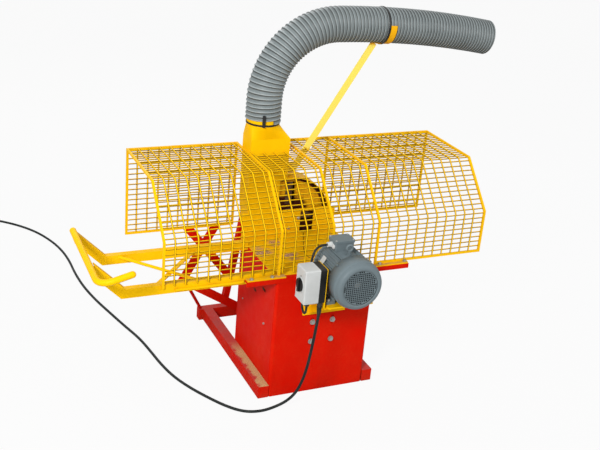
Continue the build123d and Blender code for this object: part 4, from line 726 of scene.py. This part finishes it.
def curve_piece(name, points, radius, material):
    """A cord as one smooth NURBS spline through its route's points."""
    data = bpy.data.curves.new(name, "CURVE")
    data.dimensions = "3D"
    data.bevel_depth = radius * MM
    data.bevel_resolution = 5
    data.use_fill_caps = True
    spline = data.splines.new("NURBS")
    spline.points.add(len(points) - 1)
    for target, point in zip(spline.points, points):
        target.co = (point[0] * MM, point[1] * MM, point[2] * MM, 1.0)
    spline.order_u = 3
    spline.use_endpoint_u = True
    spline.resolution_u = 8
    data.materials.append(material)
    piece = bpy.data.objects.new(name, data)
    bpy.context.collection.objects.link(piece)
    return piece


def coil_entry():
    """Where the mains cord turns into its coil, its heading there and the way to its left."""
    last = Vector(CORD_POINTS[-1])
    heading = (last - Vector(CORD_POINTS[-2])).normalized()
    return last + heading * 2 * CORD_R, heading, Vector((-heading.y, heading.x, 0.0))


def coil_points():
    """Control points of the put-away coil: half turns inward, a climb, half turns outward."""
    place, heading, left = coil_entry()
    points = [place]
    radii = [COIL_R - COIL_STEP / 2 * k for k in range(COIL_HALF_TURNS + 1)]
    radii += radii[-2::-1]
    step = math.pi / COIL_POINTS_PER_HALF
    for index, radius in enumerate(radii):
        climb = COIL_LAYER if index == COIL_HALF_TURNS else 0.0
        centre = place + left * radius
        wide = radius / math.cos(step / 2)
        for k in range(COIL_POINTS_PER_HALF):
            angle = step * (k + 0.5)
            lift = climb * (1.0 - math.cos(angle)) / 2
            points.append(centre - left * wide * math.cos(angle) + heading * wide * math.sin(angle)
                          + Vector((0.0, 0.0, lift)))
        place = place + left * (2 * radius) + Vector((0.0, 0.0, climb))
        heading = -heading
        left = -left
    points.append(place)
    points.append(place + heading * COIL_TAIL)
    return [tuple(p) for p in points]


# Strain relief and coil tie; a rib is drawn by shares of its pitch and depths below its crest
RELIEF_LEN = 42.0
RELIEF_COLLAR = (-4.0, 2.0)
RELIEF_COLLAR_R = 11.5
RELIEF_R = 11.2
RELIEF_TAPER = 3.6
RELIEF_GAP = 0.5
RELIEF_RIBS = 6
RELIEF_RIB = ((0.15, 0.0), (0.55, 0.3), (0.65, 1.4), (0.95, 1.5))
TIE_HALF = (14.4, 13.45)
TIE_MID_Z = 13.6
TIE_T = 0.9
TIE_W = 12.0


def add_relief(look):
    """Tapered strain relief with ribs where the mains lead leaves its gland."""
    low, high = RELIEF_COLLAR
    profile = [(low, 0), (low, RELIEF_COLLAR_R), (high, RELIEF_COLLAR_R)]
    pitch = (RELIEF_LEN - 2 * high) / RELIEF_RIBS
    for rib in range(RELIEF_RIBS):
        place = high + pitch * rib
        crest = RELIEF_R - RELIEF_TAPER * rib / RELIEF_RIBS
        profile += [(place + share * pitch, crest - depth) for share, depth in RELIEF_RIB]
    profile += [(RELIEF_LEN, CORD_R + RELIEF_GAP), (RELIEF_LEN, 0)]
    bm = bmesh.new()
    lathe(bm, CORD_EXIT, (0, 0, -1), profile, 32)
    return finish_piece("strain_relief", bm, look["rubber"])


def add_coil_tie(look):
    """Strap round the put-away turns."""
    place, heading, left = coil_entry()
    centre = place + left * COIL_R + heading * (COIL_R - COIL_STEP / 2)
    centre.z = TIE_MID_Z
    bm = bmesh.new()
    rows = []
    for grow, shift in ((0.0, -0.5), (0.0, 0.5), (TIE_T, 0.5), (TIE_T, -0.5)):
        outline = rounded_loop(TIE_HALF[0] + grow, TIE_HALF[1] + grow, CORD_R + grow)
        rows.append([bm.verts.new(centre + heading * a + Vector((0, 0, b)) + left * shift * TIE_W)
                     for a, b in outline])
    for low, high in zip(rows, rows[1:] + rows[:1]):
        bridge(bm, low, high)
    return finish_piece("coil_tie", bm, look["tie"])


def add_cords(look):
    """Mains cord with its coil, and the motor cable."""
    route = [CORD_EXIT, *CORD_POINTS, *coil_points()]
    cord = curve_piece("mains_lead", route, CORD_R, look["rubber"])
    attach(cord, "machine")
    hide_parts("mains_cord", "cord_coil")
    cable = curve_piece("motor_lead", [CABLE_EXIT, *CABLE_POINTS, CABLE_END], CABLE_R, look["rubber"])
    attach(cable, "machine")
    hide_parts("motor_cable")
    relief = add_relief(look)
    tie = add_coil_tie(look)


# Hose


HOSE_BEND_LEN = HOSE_BEND_R * math.pi / 2
HOSE_LENGTH = HOSE_RISE + HOSE_BEND_LEN + HOSE_RUN_R * math.radians(HOSE_RUN_DEG)
HOSE_FLAP = 12.0
HOSE_PITCH_START = 20.0
HOSE_PITCH_END = 15.0
HOSE_PITCH_RATE = (HOSE_PITCH_END - HOSE_PITCH_START) / (HOSE_LENGTH + HOSE_FLAP)
HOSE_TURNS = math.log(HOSE_PITCH_END / HOSE_PITCH_START) / HOSE_PITCH_RATE
HOSE_SEAM_DEG = -72.0
HOSE_SIDES = 72
# Share of a turn, lift from root to crest, and tone: near 1 a painted highlight on the ridge, near 0 a
# painted shadow under it
HOSE_PROFILE = [
    (0.00, 0.96, 0.85), (0.09, 1.00, 1.00), (0.18, 0.92, 0.85), (0.26, 0.42, 0.55), (0.36, 0.16, 0.50),
    (0.52, 0.06, 0.50), (0.68, 0.10, 0.42), (0.82, 0.30, 0.10), (0.92, 0.70, 0.05),
]
# Rows of the profile that the bore has too, its own ridge and tone
BORE_ROWS = (0, 4)
BORE_RIDGE = 0.4
BORE_TONE = 0.5


def hose_frame(distance):
    """Place and direction of the hose's centreline at a distance from its lower end."""
    bend_z = HOSE_START_Z + HOSE_RISE
    if distance <= HOSE_RISE:
        return Vector((COLLAR_X, CASING_MID_Y, HOSE_START_Z + distance)), Vector((0, 0, 1))
    if distance <= HOSE_RISE + HOSE_BEND_LEN:
        angle = (distance - HOSE_RISE) / HOSE_BEND_R
        x = COLLAR_X + HOSE_BEND_R * (1 - math.cos(angle))
        z = bend_z + HOSE_BEND_R * math.sin(angle)
        return Vector((x, CASING_MID_Y, z)), Vector((math.sin(angle), 0, math.cos(angle)))
    angle = (distance - HOSE_RISE - HOSE_BEND_LEN) / HOSE_RUN_R
    x = COLLAR_X + HOSE_BEND_R + HOSE_RUN_R * math.sin(angle)
    z = bend_z + HOSE_BEND_R - HOSE_RUN_R * (1 - math.cos(angle))
    return Vector((x, CASING_MID_Y, z)), Vector((math.cos(angle), 0, -math.sin(angle)))


def hose_distance(turns):
    """Distance along the hose after a number of turns of its spiral; the pitch shrinks along the way."""
    return HOSE_PITCH_START / HOSE_PITCH_RATE * (math.exp(HOSE_PITCH_RATE * turns) - 1.0) - HOSE_FLAP


def hose_point(distance, angle, radius):
    """A point of the hose's skin."""
    origin, direction = hose_frame(distance)
    side = Vector((0, 1, 0))
    across = side.cross(direction)
    return origin + (across * math.cos(angle) + side * math.sin(angle)) * radius


def spiral_skin(bm, rings, per_turn):
    """Faces between rings that each go on, after a turn, in the ring of the next turn."""
    for row in range(len(rings) - 1):
        low, high = rings[row], rings[row + 1]
        for k in range(HOSE_SIDES - 1):
            bm.faces.new((low[k], low[k + 1], high[k + 1], high[k]))
        if row + per_turn + 1 < len(rings):
            next_low, next_high = rings[row + per_turn], rings[row + per_turn + 1]
            bm.faces.new((low[-1], next_low[0], next_high[0], high[-1]))


def add_hose(look):
    """Spiral hose: a narrow ridge winds round a thin wall that sags between the turns."""
    bm = bmesh.new()
    shade = bm.verts.layers.float.new(HOSE_LIGHT_AND_SHADE)
    steps = len(HOSE_PROFILE)
    seam = math.radians(HOSE_SEAM_DEG)
    outer = []
    inner = []
    for row in range(int(HOSE_TURNS * steps) + steps):
        whole, part = divmod(row, steps)
        phase, lift, tone = HOSE_PROFILE[part]
        radius = HOSE_ROOT_R + (HOSE_CREST_R - HOSE_ROOT_R) * lift
        ring_out = []
        ring_in = []
        for k in range(HOSE_SIDES):
            share = k / HOSE_SIDES
            distance = min(hose_distance(whole + phase + share), HOSE_LENGTH)
            angle = seam + 2 * math.pi * share
            ring_out.append(bm.verts.new(hose_point(distance, angle, radius)))
            # Tone of this point: painted highlight on the ridge, painted shadow under it
            ring_out[-1][shade] = tone
            if part in BORE_ROWS:
                ring_in.append(bm.verts.new(hose_point(distance, angle, HOSE_BORE_R + BORE_RIDGE * lift)))
                ring_in[-1][shade] = BORE_TONE
        outer.append(ring_out)
        if ring_in:
            inner.append(ring_in)
    spiral_skin(bm, outer, steps)
    spiral_skin(bm, inner, len(BORE_ROWS))
    for end in (0, -1):
        rim = list(zip(outer[end], inner[end]))
        for (a, b), (c, d) in zip(rim, rim[1:]):
            bm.faces.new((a, c, d, b))
    bmesh.ops.remove_doubles(bm, verts=bm.verts, dist=WELD)
    bmesh.ops.dissolve_degenerate(bm, edges=bm.edges, dist=WELD)
    finish_piece("chip_hose", bm, look["hose"], "hose")


# Housing of the hose clamp's clip; an edge is a corner radius and a broken edge
CLIP_DEG = -19.0
CLIP_HALF_W = 7.0
CLIP_MARGIN = 0.5
CLIP_FLOOR_R = 82.9
CLIP_T = 6.1
CLIP_EDGE = (2.5, 1.0)
BUCKLE_HALF = (5.0, 8.0)
BUCKLE_T = 1.6
SHEET_EDGE = (2.0, 0.6)


def add_clip(look):
    """Housing over the clamp's upright clip, with a raised buckle."""
    low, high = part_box("hose_clamp")
    mid_z = (low[2] + high[2]) / 2 / MM
    turn = math.radians(CLIP_DEG)
    out = Vector((math.sin(turn), -math.cos(turn), 0))
    along = Vector((math.cos(turn), math.sin(turn), 0))
    up = Vector((0, 0, 1))
    centre = Vector((COLLAR_X, CASING_MID_Y, mid_z)) + out * CLIP_FLOOR_R
    half_z = (high[2] - low[2]) / 2 / MM - CLIP_MARGIN
    bm = bmesh.new()
    rounded_plate(bm, centre, along, up, CLIP_HALF_W, half_z, CLIP_T, *CLIP_EDGE)
    rounded_plate(bm, centre + out * CLIP_T, along, up, *BUCKLE_HALF, BUCKLE_T, *SHEET_EDGE)
    finish_piece("clamp_housing", bm, look["tie"], smooth=False)


# Guard mesh


GUARD_PATH = [(165.0, 604.0), (165.0, 1020.0), (-232.0, 1020.0), (-422.0, 818.0), (-422.0, 610.0)]
# First place, pitch and count of the rows on each facet of the path
GUARD_ROWS = [(23.0, 25.0, 16), (13.5, 25.0, 16), (16.0, 24.5, 11), (9.0, 24.0, 8)]
# Ends along x, then first place, pitch and count of the columns
GUARD_SPANS = {
    "mesh_left": [(-744.0, -231.0, -702.0, 50.0, 10)],
    "mesh_middle": [(-221.0, 18.0, -211.0, 52.0, 5), (28.0, 246.0, 68.0, 50.0, 4)],
    "mesh_right": [(256.0, 805.0, 300.0, 50.0, 10)],
}
# Facet, ends along x and ends along the facet
GUARD_GAPS = [(1, -231.0, -22.0, 0.0, 170.0), (1, 60.0, 111.0, 100.5, 124.5), (3, -52.0, 52.0, 86.0, 208.0)]
ALL_FACETS = (0, 1, 2, 3)
BENT_FACETS = (1, 2, 3)
# Ends of the far facet's wires, and how far short of the section's ends the bent ones stop
FAR_RUN = (10.0, 411.0)
BENT_SHORT = (5.0, 10.0)
# Sizes of the wires
COLUMN_R = 3.8
COLUMN_OUT = 2.4
ROW_R = 3.0
WIRE_SIDES = 10
WIRE_BEND = 9.0
WIRE_BEND_STEPS = 4
WIRE_END = 0.6
SHORTEST_RUN = 1.0


def guard_facet(index):
    """Start, direction, outward normal and length of one straight stretch of the guard's section."""
    start = Vector(GUARD_PATH[index])
    way = Vector(GUARD_PATH[index + 1]) - start
    direction = way.normalized()
    return start, direction, Vector((direction.y, -direction.x)), way.length


def outside_gaps(start, end, gaps):
    """What is left of a run between start and end beside the gaps."""
    runs = [(start, end)]
    for low, high in gaps:
        parts = [part for a, b in runs for part in ((a, min(b, low)), (max(a, high), b))]
        runs = [(a, b) for a, b in parts if b - a > SHORTEST_RUN]
    return runs


def bent_section():
    """Distance and place of points along the bent wires, from the far top bar to the near foot."""
    points = []
    reached = 0.0
    for index in BENT_FACETS:
        start, direction, normal, length = guard_facet(index)
        line = start + normal * COLUMN_OUT
        first = 0.0 if index == BENT_FACETS[0] else WIRE_BEND
        last = length if index == BENT_FACETS[-1] else length - WIRE_BEND
        points += [(reached + s, line + direction * s) for s in (first, last)]
        reached += length
    bent = points[:2]
    for index in BENT_FACETS[:-1]:
        (s0, a), (s1, b) = points[2 * index - 1:2 * index + 1]
        _, into, _, _ = guard_facet(index)
        _, out_of, _, _ = guard_facet(index + 1)
        corner = a + into * ((b - a).length / (into + out_of).length)
        for k in range(1, WIRE_BEND_STEPS):
            t = k / WIRE_BEND_STEPS
            bent.append((s0 + (s1 - s0) * t, a * (1 - t) ** 2 + corner * 2 * t * (1 - t) + b * t ** 2))
        bent += points[2 * index:2 * index + 2]
    return bent, reached


def cut_run(points, start, end):
    """The part of a line of points between two distances along it."""
    def at(distance):
        for (s0, a), (s1, b) in zip(points, points[1:]):
            if s0 <= distance <= s1:
                return a.lerp(b, (distance - s0) / (s1 - s0))
        return points[-1][1]
    inner = [p for s, p in points if start + WIRE_END < s < end - WIRE_END]
    return [at(start), at(start + WIRE_END), *inner, at(end - WIRE_END), at(end)]


def section_wire(bm, x, points):
    """A round wire in the guard's section, with closed ends."""
    rings = []
    for k, point in enumerate(points):
        way = (points[min(k + 1, len(points) - 1)] - points[max(k - 1, 0)]).normalized()
        out = Vector((0, way.y, -way.x))
        centre = Vector((x, point.x, point.y))
        around = [out * c + Vector((s, 0, 0)) for c, s in circle(WIRE_SIDES)]
        rings.append([bm.verts.new(centre + way_out * COLUMN_R) for way_out in around])
    capped_skin(bm, rings)


def add_rows(bm, spans, facets):
    """Straight wires along the guard, cut at its gaps."""
    for x0, x1, *_ in spans:
        for index in facets:
            start, direction, normal, _ = guard_facet(index)
            first, pitch, count = GUARD_ROWS[index]
            for k in range(count):
                s = first + k * pitch
                place = start + direction * s - normal * ROW_R
                gaps = [(g0, g1) for facet, g0, g1, low, high in GUARD_GAPS
                        if facet == index and low < s < high]
                for a, b in outside_gaps(x0, x1, gaps):
                    ends = (0, WIRE_END, b - a - WIRE_END, b - a)
                    profile = [(0, 0), *((end, ROW_R) for end in ends), (b - a, 0)]
                    lathe(bm, (a, place.x, place.y), (1, 0, 0), profile, WIRE_SIDES)


def add_columns(bm, spans, facets):
    """Wires bent round the guard's section and cut at its gaps, with straight ones on the far facet."""
    bent, total = bent_section()
    first_facet, last_facet = BENT_FACETS[0], BENT_FACETS[-1]
    starts = {first_facet: 0.0, last_facet: total - guard_facet(last_facet)[3]}
    start, direction, normal, _ = guard_facet(0)
    line = start + normal * COLUMN_OUT
    far = [(s, line + direction * s) for s in FAR_RUN]
    for _, _, first, pitch, count in spans:
        for k in range(count):
            x = first + k * pitch
            gaps = [(starts[facet] + low, starts[facet] + high)
                    for facet, g0, g1, low, high in GUARD_GAPS if g0 < x < g1]
            for run in outside_gaps(BENT_SHORT[0], total - BENT_SHORT[1], gaps):
                section_wire(bm, x, cut_run(bent, *run))
            if 0 in facets:
                section_wire(bm, x, cut_run(far, *FAR_RUN))


def add_guard_mesh(look):
    """Welded guard mesh of round wires: rows along the guard, and columns bent round its section."""
    for node, spans in GUARD_SPANS.items():
        facets = BENT_FACETS if node == "mesh_middle" else ALL_FACETS
        bm = bmesh.new()
        add_rows(bm, spans, facets)
        for face in bm.faces:
            face.material_index = 1
        add_columns(bm, spans, facets)
        piece = finish_piece(node.replace("mesh", "wires"), bm, look["column"], node)
        piece.data.materials.append(look["row"])


# Motor and switch


COWL_PROFILE = [
    (0, 107.5), (0, 110), (58, 110), (63, 109.2), (65.5, 106.6), (68, 105.6), (78, 104.4), (85, 101.5),
    (90, 96), (92, 88), (92, 79), (90, 78.4), (89.6, 86), (87.5, 94), (83, 98.6), (77, 101.6), (67, 102.8),
    (62, 106.6),
]
GRILLE_R = 84.0
GRILLE_HOLES_R = 74.0
GRILLE_PITCH = 9.0
GRILLE_HOLE = 6.6
GRILLE_T = 1.5
GRILLE_SETBACK = 3.6
COWL_SCREW_Y = 10.0
COWL_SCREW_R = 5.0
NAMEPLATE_DEG = 31.6
NAMEPLATE_R = 108.6
NAMEPLATE_Y = -570.0
NAMEPLATE_HALF = (17.0, 15.0)
NAMEPLATE_T = 1.2
RIVET_INSET = 3.5
RIVET_PROFILE = [(0, 0), (0, 2.2), (0.8, 1.6), (1.1, 0)]
TERMINAL_LID_Z = 819.0
TERMINAL_LID_X = 40.0
TERMINAL_LID_Y = (-575.0, -517.0)
TERMINAL_SCREW_R = 4.2
TERMINAL_PLUG = (-45.0, -566.0, 792.0)
PLUG_PROFILE = [(0, 0), (0, 11), (4, 11), (6, 9), (6.5, 4), (5.5, 3), (5.5, 0)]
FOOT_BOLT_X = 90.0
FOOT_BOLT_Y = (-650.0, -518.0)
FOOT_BOLT = 10.0
FOOT_TOP_Z = 582.0
SWITCH_FACE_X = -220.0
SWITCH_MID = (-632.0, 666.0)
SWITCH_SCREWS = ((-668.0, 598.0), (-596.0, 598.0), (-668.0, 734.0), (-596.0, 734.0))
SWITCH_SCREW_R = 3.6
RING_PROFILE = [(0, 29.4), (0, 34), (1.2, 34), (2, 32.5), (2, 29.4)]
SWITCH_DOT = (-632.0, 706.0)
DOT_PROFILE = [(0, 0), (0, 3.4), (0.8, 3.0), (1.0, 0)]


def add_cowl(look):
    """Pressed fan cowl, its inner faces in black plastic as painted shade."""
    bm = bmesh.new()
    lathe(bm, (0, FRAME_BACK_Y, AXIS_Z), (0, -1, 0), COWL_PROFILE, 96, loop=True)
    cowl = finish_piece("fan_cowl", bm, look["motor"], "fan_cover")
    cowl.data.materials.append(look["black"])
    # Faces that look towards the axis take the black plastic: painted shade inside the cowl
    for face in cowl.data.polygons:
        out = Vector((face.center.x, 0, face.center.z - AXIS_Z * MM))
        if out.dot(face.normal) < 0:
            face.material_index = 1


def add_grille(look):
    """Perforated end of the fan cowl: square cells, with a square hole in each cell but the outer ones."""
    bm = bmesh.new()
    y = FAN_END_Y + GRILLE_SETBACK

    def cell_loop(u, v, half):
        return [bm.verts.new((u + a * half, y, AXIS_Z + v + b * half)) for a, b in QUARTERS]

    half = GRILLE_PITCH / 2
    count = int(GRILLE_R // GRILLE_PITCH) + 1
    for column in range(-count, count + 1):
        for row in range(-count, count + 1):
            u = column * GRILLE_PITCH
            v = row * GRILLE_PITCH
            if math.hypot(abs(u) + half, abs(v) + half) > GRILLE_R + half:
                continue
            rim = cell_loop(u, v, half)
            if math.hypot(u, v) > GRILLE_HOLES_R:
                bm.faces.new(rim)
            else:
                bridge(bm, rim, cell_loop(u, v, GRILLE_HOLE / 2))
    bmesh.ops.remove_doubles(bm, verts=bm.verts, dist=WELD)
    thicken(bm, GRILLE_T)
    finish_piece("fan_grille", bm, look["motor"], smooth=False)


def add_motor_parts(look):
    """Cowl screws, bare nameplate with its rivets, terminal box screws and plug, foot bolts."""
    middle = Vector((0, FRAME_BACK_Y - COWL_SCREW_Y, AXIS_Z))
    ways = [Vector((a, 0, b)).normalized() for a, b in QUARTERS]
    spots = [(middle + out * FAN_COVER_R, out, COWL_SCREW_R) for out in ways]
    add_heads("cowl_screws", cap_screw, spots, look["motor"])

    angle = math.radians(NAMEPLATE_DEG)
    out = Vector((-math.cos(angle), 0, math.sin(angle)))
    along = Vector((0, 1, 0))
    up = Vector((math.sin(angle), 0, math.cos(angle)))
    centre = Vector((0, NAMEPLATE_Y, AXIS_Z)) + out * NAMEPLATE_R
    bm = bmesh.new()
    rounded_plate(bm, centre, up, along, *NAMEPLATE_HALF, NAMEPLATE_T)
    for a in (-1, 1):
        place = centre + up * a * (NAMEPLATE_HALF[0] - RIVET_INSET) + out * NAMEPLATE_T
        lathe(bm, place, out, RIVET_PROFILE, 12)
    finish_piece("nameplate", bm, look["plate"], smooth=False)

    spots = [((side * TERMINAL_LID_X, y, TERMINAL_LID_Z), (0, 0, 1), TERMINAL_SCREW_R)
             for side in (-1, 1) for y in TERMINAL_LID_Y]
    add_heads("terminal_screws", cap_screw, spots, look["zinc"])

    bm = bmesh.new()
    lathe(bm, TERMINAL_PLUG, (-1, 0, 0), PLUG_PROFILE, 24)
    finish_piece("terminal_plug", bm, look["light"])

    spots = [((side * FOOT_BOLT_X, y, FOOT_TOP_Z), (0, 0, 1), FOOT_BOLT)
             for side in (-1, 1) for y in FOOT_BOLT_Y]
    add_heads("motor_foot_bolts", hex_bolt, spots, look["zinc"])


def add_switch_parts(look):
    """Ring behind the knob, cover screws and the switch's dark position dot."""
    bm = bmesh.new()
    lathe(bm, (SWITCH_FACE_X, *SWITCH_MID), (-1, 0, 0), RING_PROFILE, 48, loop=True)
    finish_piece("switch_ring", bm, look["light"])

    spots = [((SWITCH_FACE_X, *screw), (-1, 0, 0), SWITCH_SCREW_R) for screw in SWITCH_SCREWS]
    add_heads("switch_screws", cap_screw, spots, look["light"])

    bm = bmesh.new()
    lathe(bm, (SWITCH_FACE_X, *SWITCH_DOT), (-1, 0, 0), DOT_PROFILE, 16)
    finish_piece("switch_dot", bm, look["tie"])


# Fasteners and marks


FLAT_BOLTS = (
    (-359.0, -436.0, 610.0), (-262.0, -436.0, 610.0), (270.0, -431.0, 610.0), (399.0, -431.0, 610.0),
)
FLAT_BOLT = 9.0
PLATE_BOLTS = ((48.0, 0.0, 679.0), (-48.0, 0.0, 681.0), (0.0, 0.0, 632.0))
PLATE_BOLT = 8.0
LAP_Y = (-432.0, -365.0)
LAP_Z = (62.0, 578.0)
LAP_T = 1.5
# Place and size of the bolts on each side
SIDE_BOLTS = ((-335.0, 325.5, 6.0), (-70.0, 320.0, 4.0))
BASE_X = 240.0
SEAM_POINTS = [(78.0, -6.0), (-4.0, -195.0), (-15.0, -235.0), (-14.0, -276.0), (2.0, -300.0)]
SEAM_W = 3.0
DECK_Z = 604.0
# Middle and half size of each scrape, and how its ragged edge swings
SCRAPES = ((-206.0, 434.0, 24.0, 10.0), (-309.0, 485.0, 29.0, 12.0))
SCRAPE_POINTS = 22
SCRAPE_SWING = 0.34
SCRAPE_WAVE = 2.3
MARK_T = 0.3


def add_fasteners(look):
    """Bolts on the guard's flats and on the casing's front plate."""
    spots = [(place, (0, 0, 1), FLAT_BOLT) for place in FLAT_BOLTS]
    spots += [(place, (0, -1, 0), PLATE_BOLT) for place in PLATE_BOLTS]
    add_heads("guard_bolts", hex_bolt, spots, look["zinc"])


def add_laps(look):
    """Front sheet's flaps that wrap round the cabinet's sides, and the bolts behind them."""
    middle = (sum(LAP_Y) / 2, sum(LAP_Z) / 2)
    half = ((LAP_Y[1] - LAP_Y[0]) / 2, (LAP_Z[1] - LAP_Z[0]) / 2)
    bm = bmesh.new()
    for side in (-1, 1):
        rounded_plate(bm, (side * BASE_X, *middle), (0, side, 0), (0, 0, 1), *half, LAP_T, *SHEET_EDGE)
    finish_piece("side_laps", bm, look["red"], smooth=False)
    spots = [((side * BASE_X, y, z), (side, 0, 0), size) for side in (-1, 1) for y, z, size in SIDE_BOLTS]
    add_heads("side_bolts", hex_bolt, spots, look["zinc"])


def add_marks(look):
    """Dark joint in the deck and two scraped places on the cabinet's side."""
    bm = bmesh.new()
    left = []
    right = []
    for k, (x, y) in enumerate(SEAM_POINTS):
        before = Vector(SEAM_POINTS[max(k - 1, 0)])
        after = Vector(SEAM_POINTS[min(k + 1, len(SEAM_POINTS) - 1)])
        way = (after - before).normalized() * (SEAM_W / 2)
        left.append(bm.verts.new((x - way.y, y + way.x, DECK_Z + MARK_T)))
        right.append(bm.verts.new((x + way.y, y - way.x, DECK_Z + MARK_T)))
    for k in range(len(left) - 1):
        bm.faces.new((left[k], right[k], right[k + 1], left[k + 1]))
    thicken(bm, MARK_T)
    finish_piece("deck_joint", bm, look["mark"])

    bm = bmesh.new()
    for y, z, half_y, half_z in SCRAPES:
        points = []
        for k, (c, s) in enumerate(circle(SCRAPE_POINTS)):
            ragged = 1.0 - SCRAPE_SWING + SCRAPE_SWING * math.sin(SCRAPE_WAVE * k + half_y)
            place = (-BASE_X - MARK_T, y + half_y * ragged * c, z + half_z * ragged * s)
            points.append(bm.verts.new(place))
        bm.faces.new(points)
    thicken(bm, MARK_T)
    finish_piece("side_scrapes", bm, look["mark"])


# CAD nodes


FINISH = {
    "casing": ["casing_shell", "casing_front"],
    "yellow": ["duct_collar", "motor_bracket", "switch_plate", "infeed_rails",
               "cradle_tube", "rail_braces", "guard_bars", "front_belt_cover", "rear_belt_cover",
               "guard_frames_left", "guard_frames_right", "guard_frame_middle"],
    "dusty": ["guard_flats"],
    "deck": ["deck"],
    "disc": ["cutter_disc"],
    "pale": ["hose_strut"],
    "red": ["base_shell", "front_beam", "stay_posts", "stay_braces", "slide_plate", "lay_shaft_plate"],
    "red_foot": ["feet", "rear_cross_tube"],
    "motor": ["motor_frame", "motor_end_shields", "terminal_box", "eye_bolt"],
    "steel": ["spindle", "lay_shaft", "motor_rotor"],
    "knife": ["knives"],
    "cast": ["front_bearing", "rear_bearing", "lay_shaft_bearings", "motor_pulley", "lay_shaft_pulleys",
             "spindle_pulley"],
    "zinc": ["panel_bolts"],
    "black": ["switch_base", "switch_knob", "motor_fan", "plug"],
    "rubber": ["front_belt", "rear_belt"],
    "tie": ["hose_clamp", "hose_tie"],
    "gland": ["glands"],
    "light": ["switch_cover"],
}


def dress_nodes(look):
    """Give every CAD node that shows its finish."""
    for key, names in FINISH.items():
        for name in names:
            materials = nodes[name].data.materials
            materials.clear()
            materials.append(look[key])


set_camera()
set_light()
add_floor()
look = {**make_paints(), **make_plain()}
add_cords(look)
add_hose(look)
add_clip(look)
add_guard_mesh(look)
add_cowl(look)
add_grille(look)
add_motor_parts(look)
add_switch_parts(look)
add_fasteners(look)
add_laps(look)
add_marks(look)
dress_nodes(look)
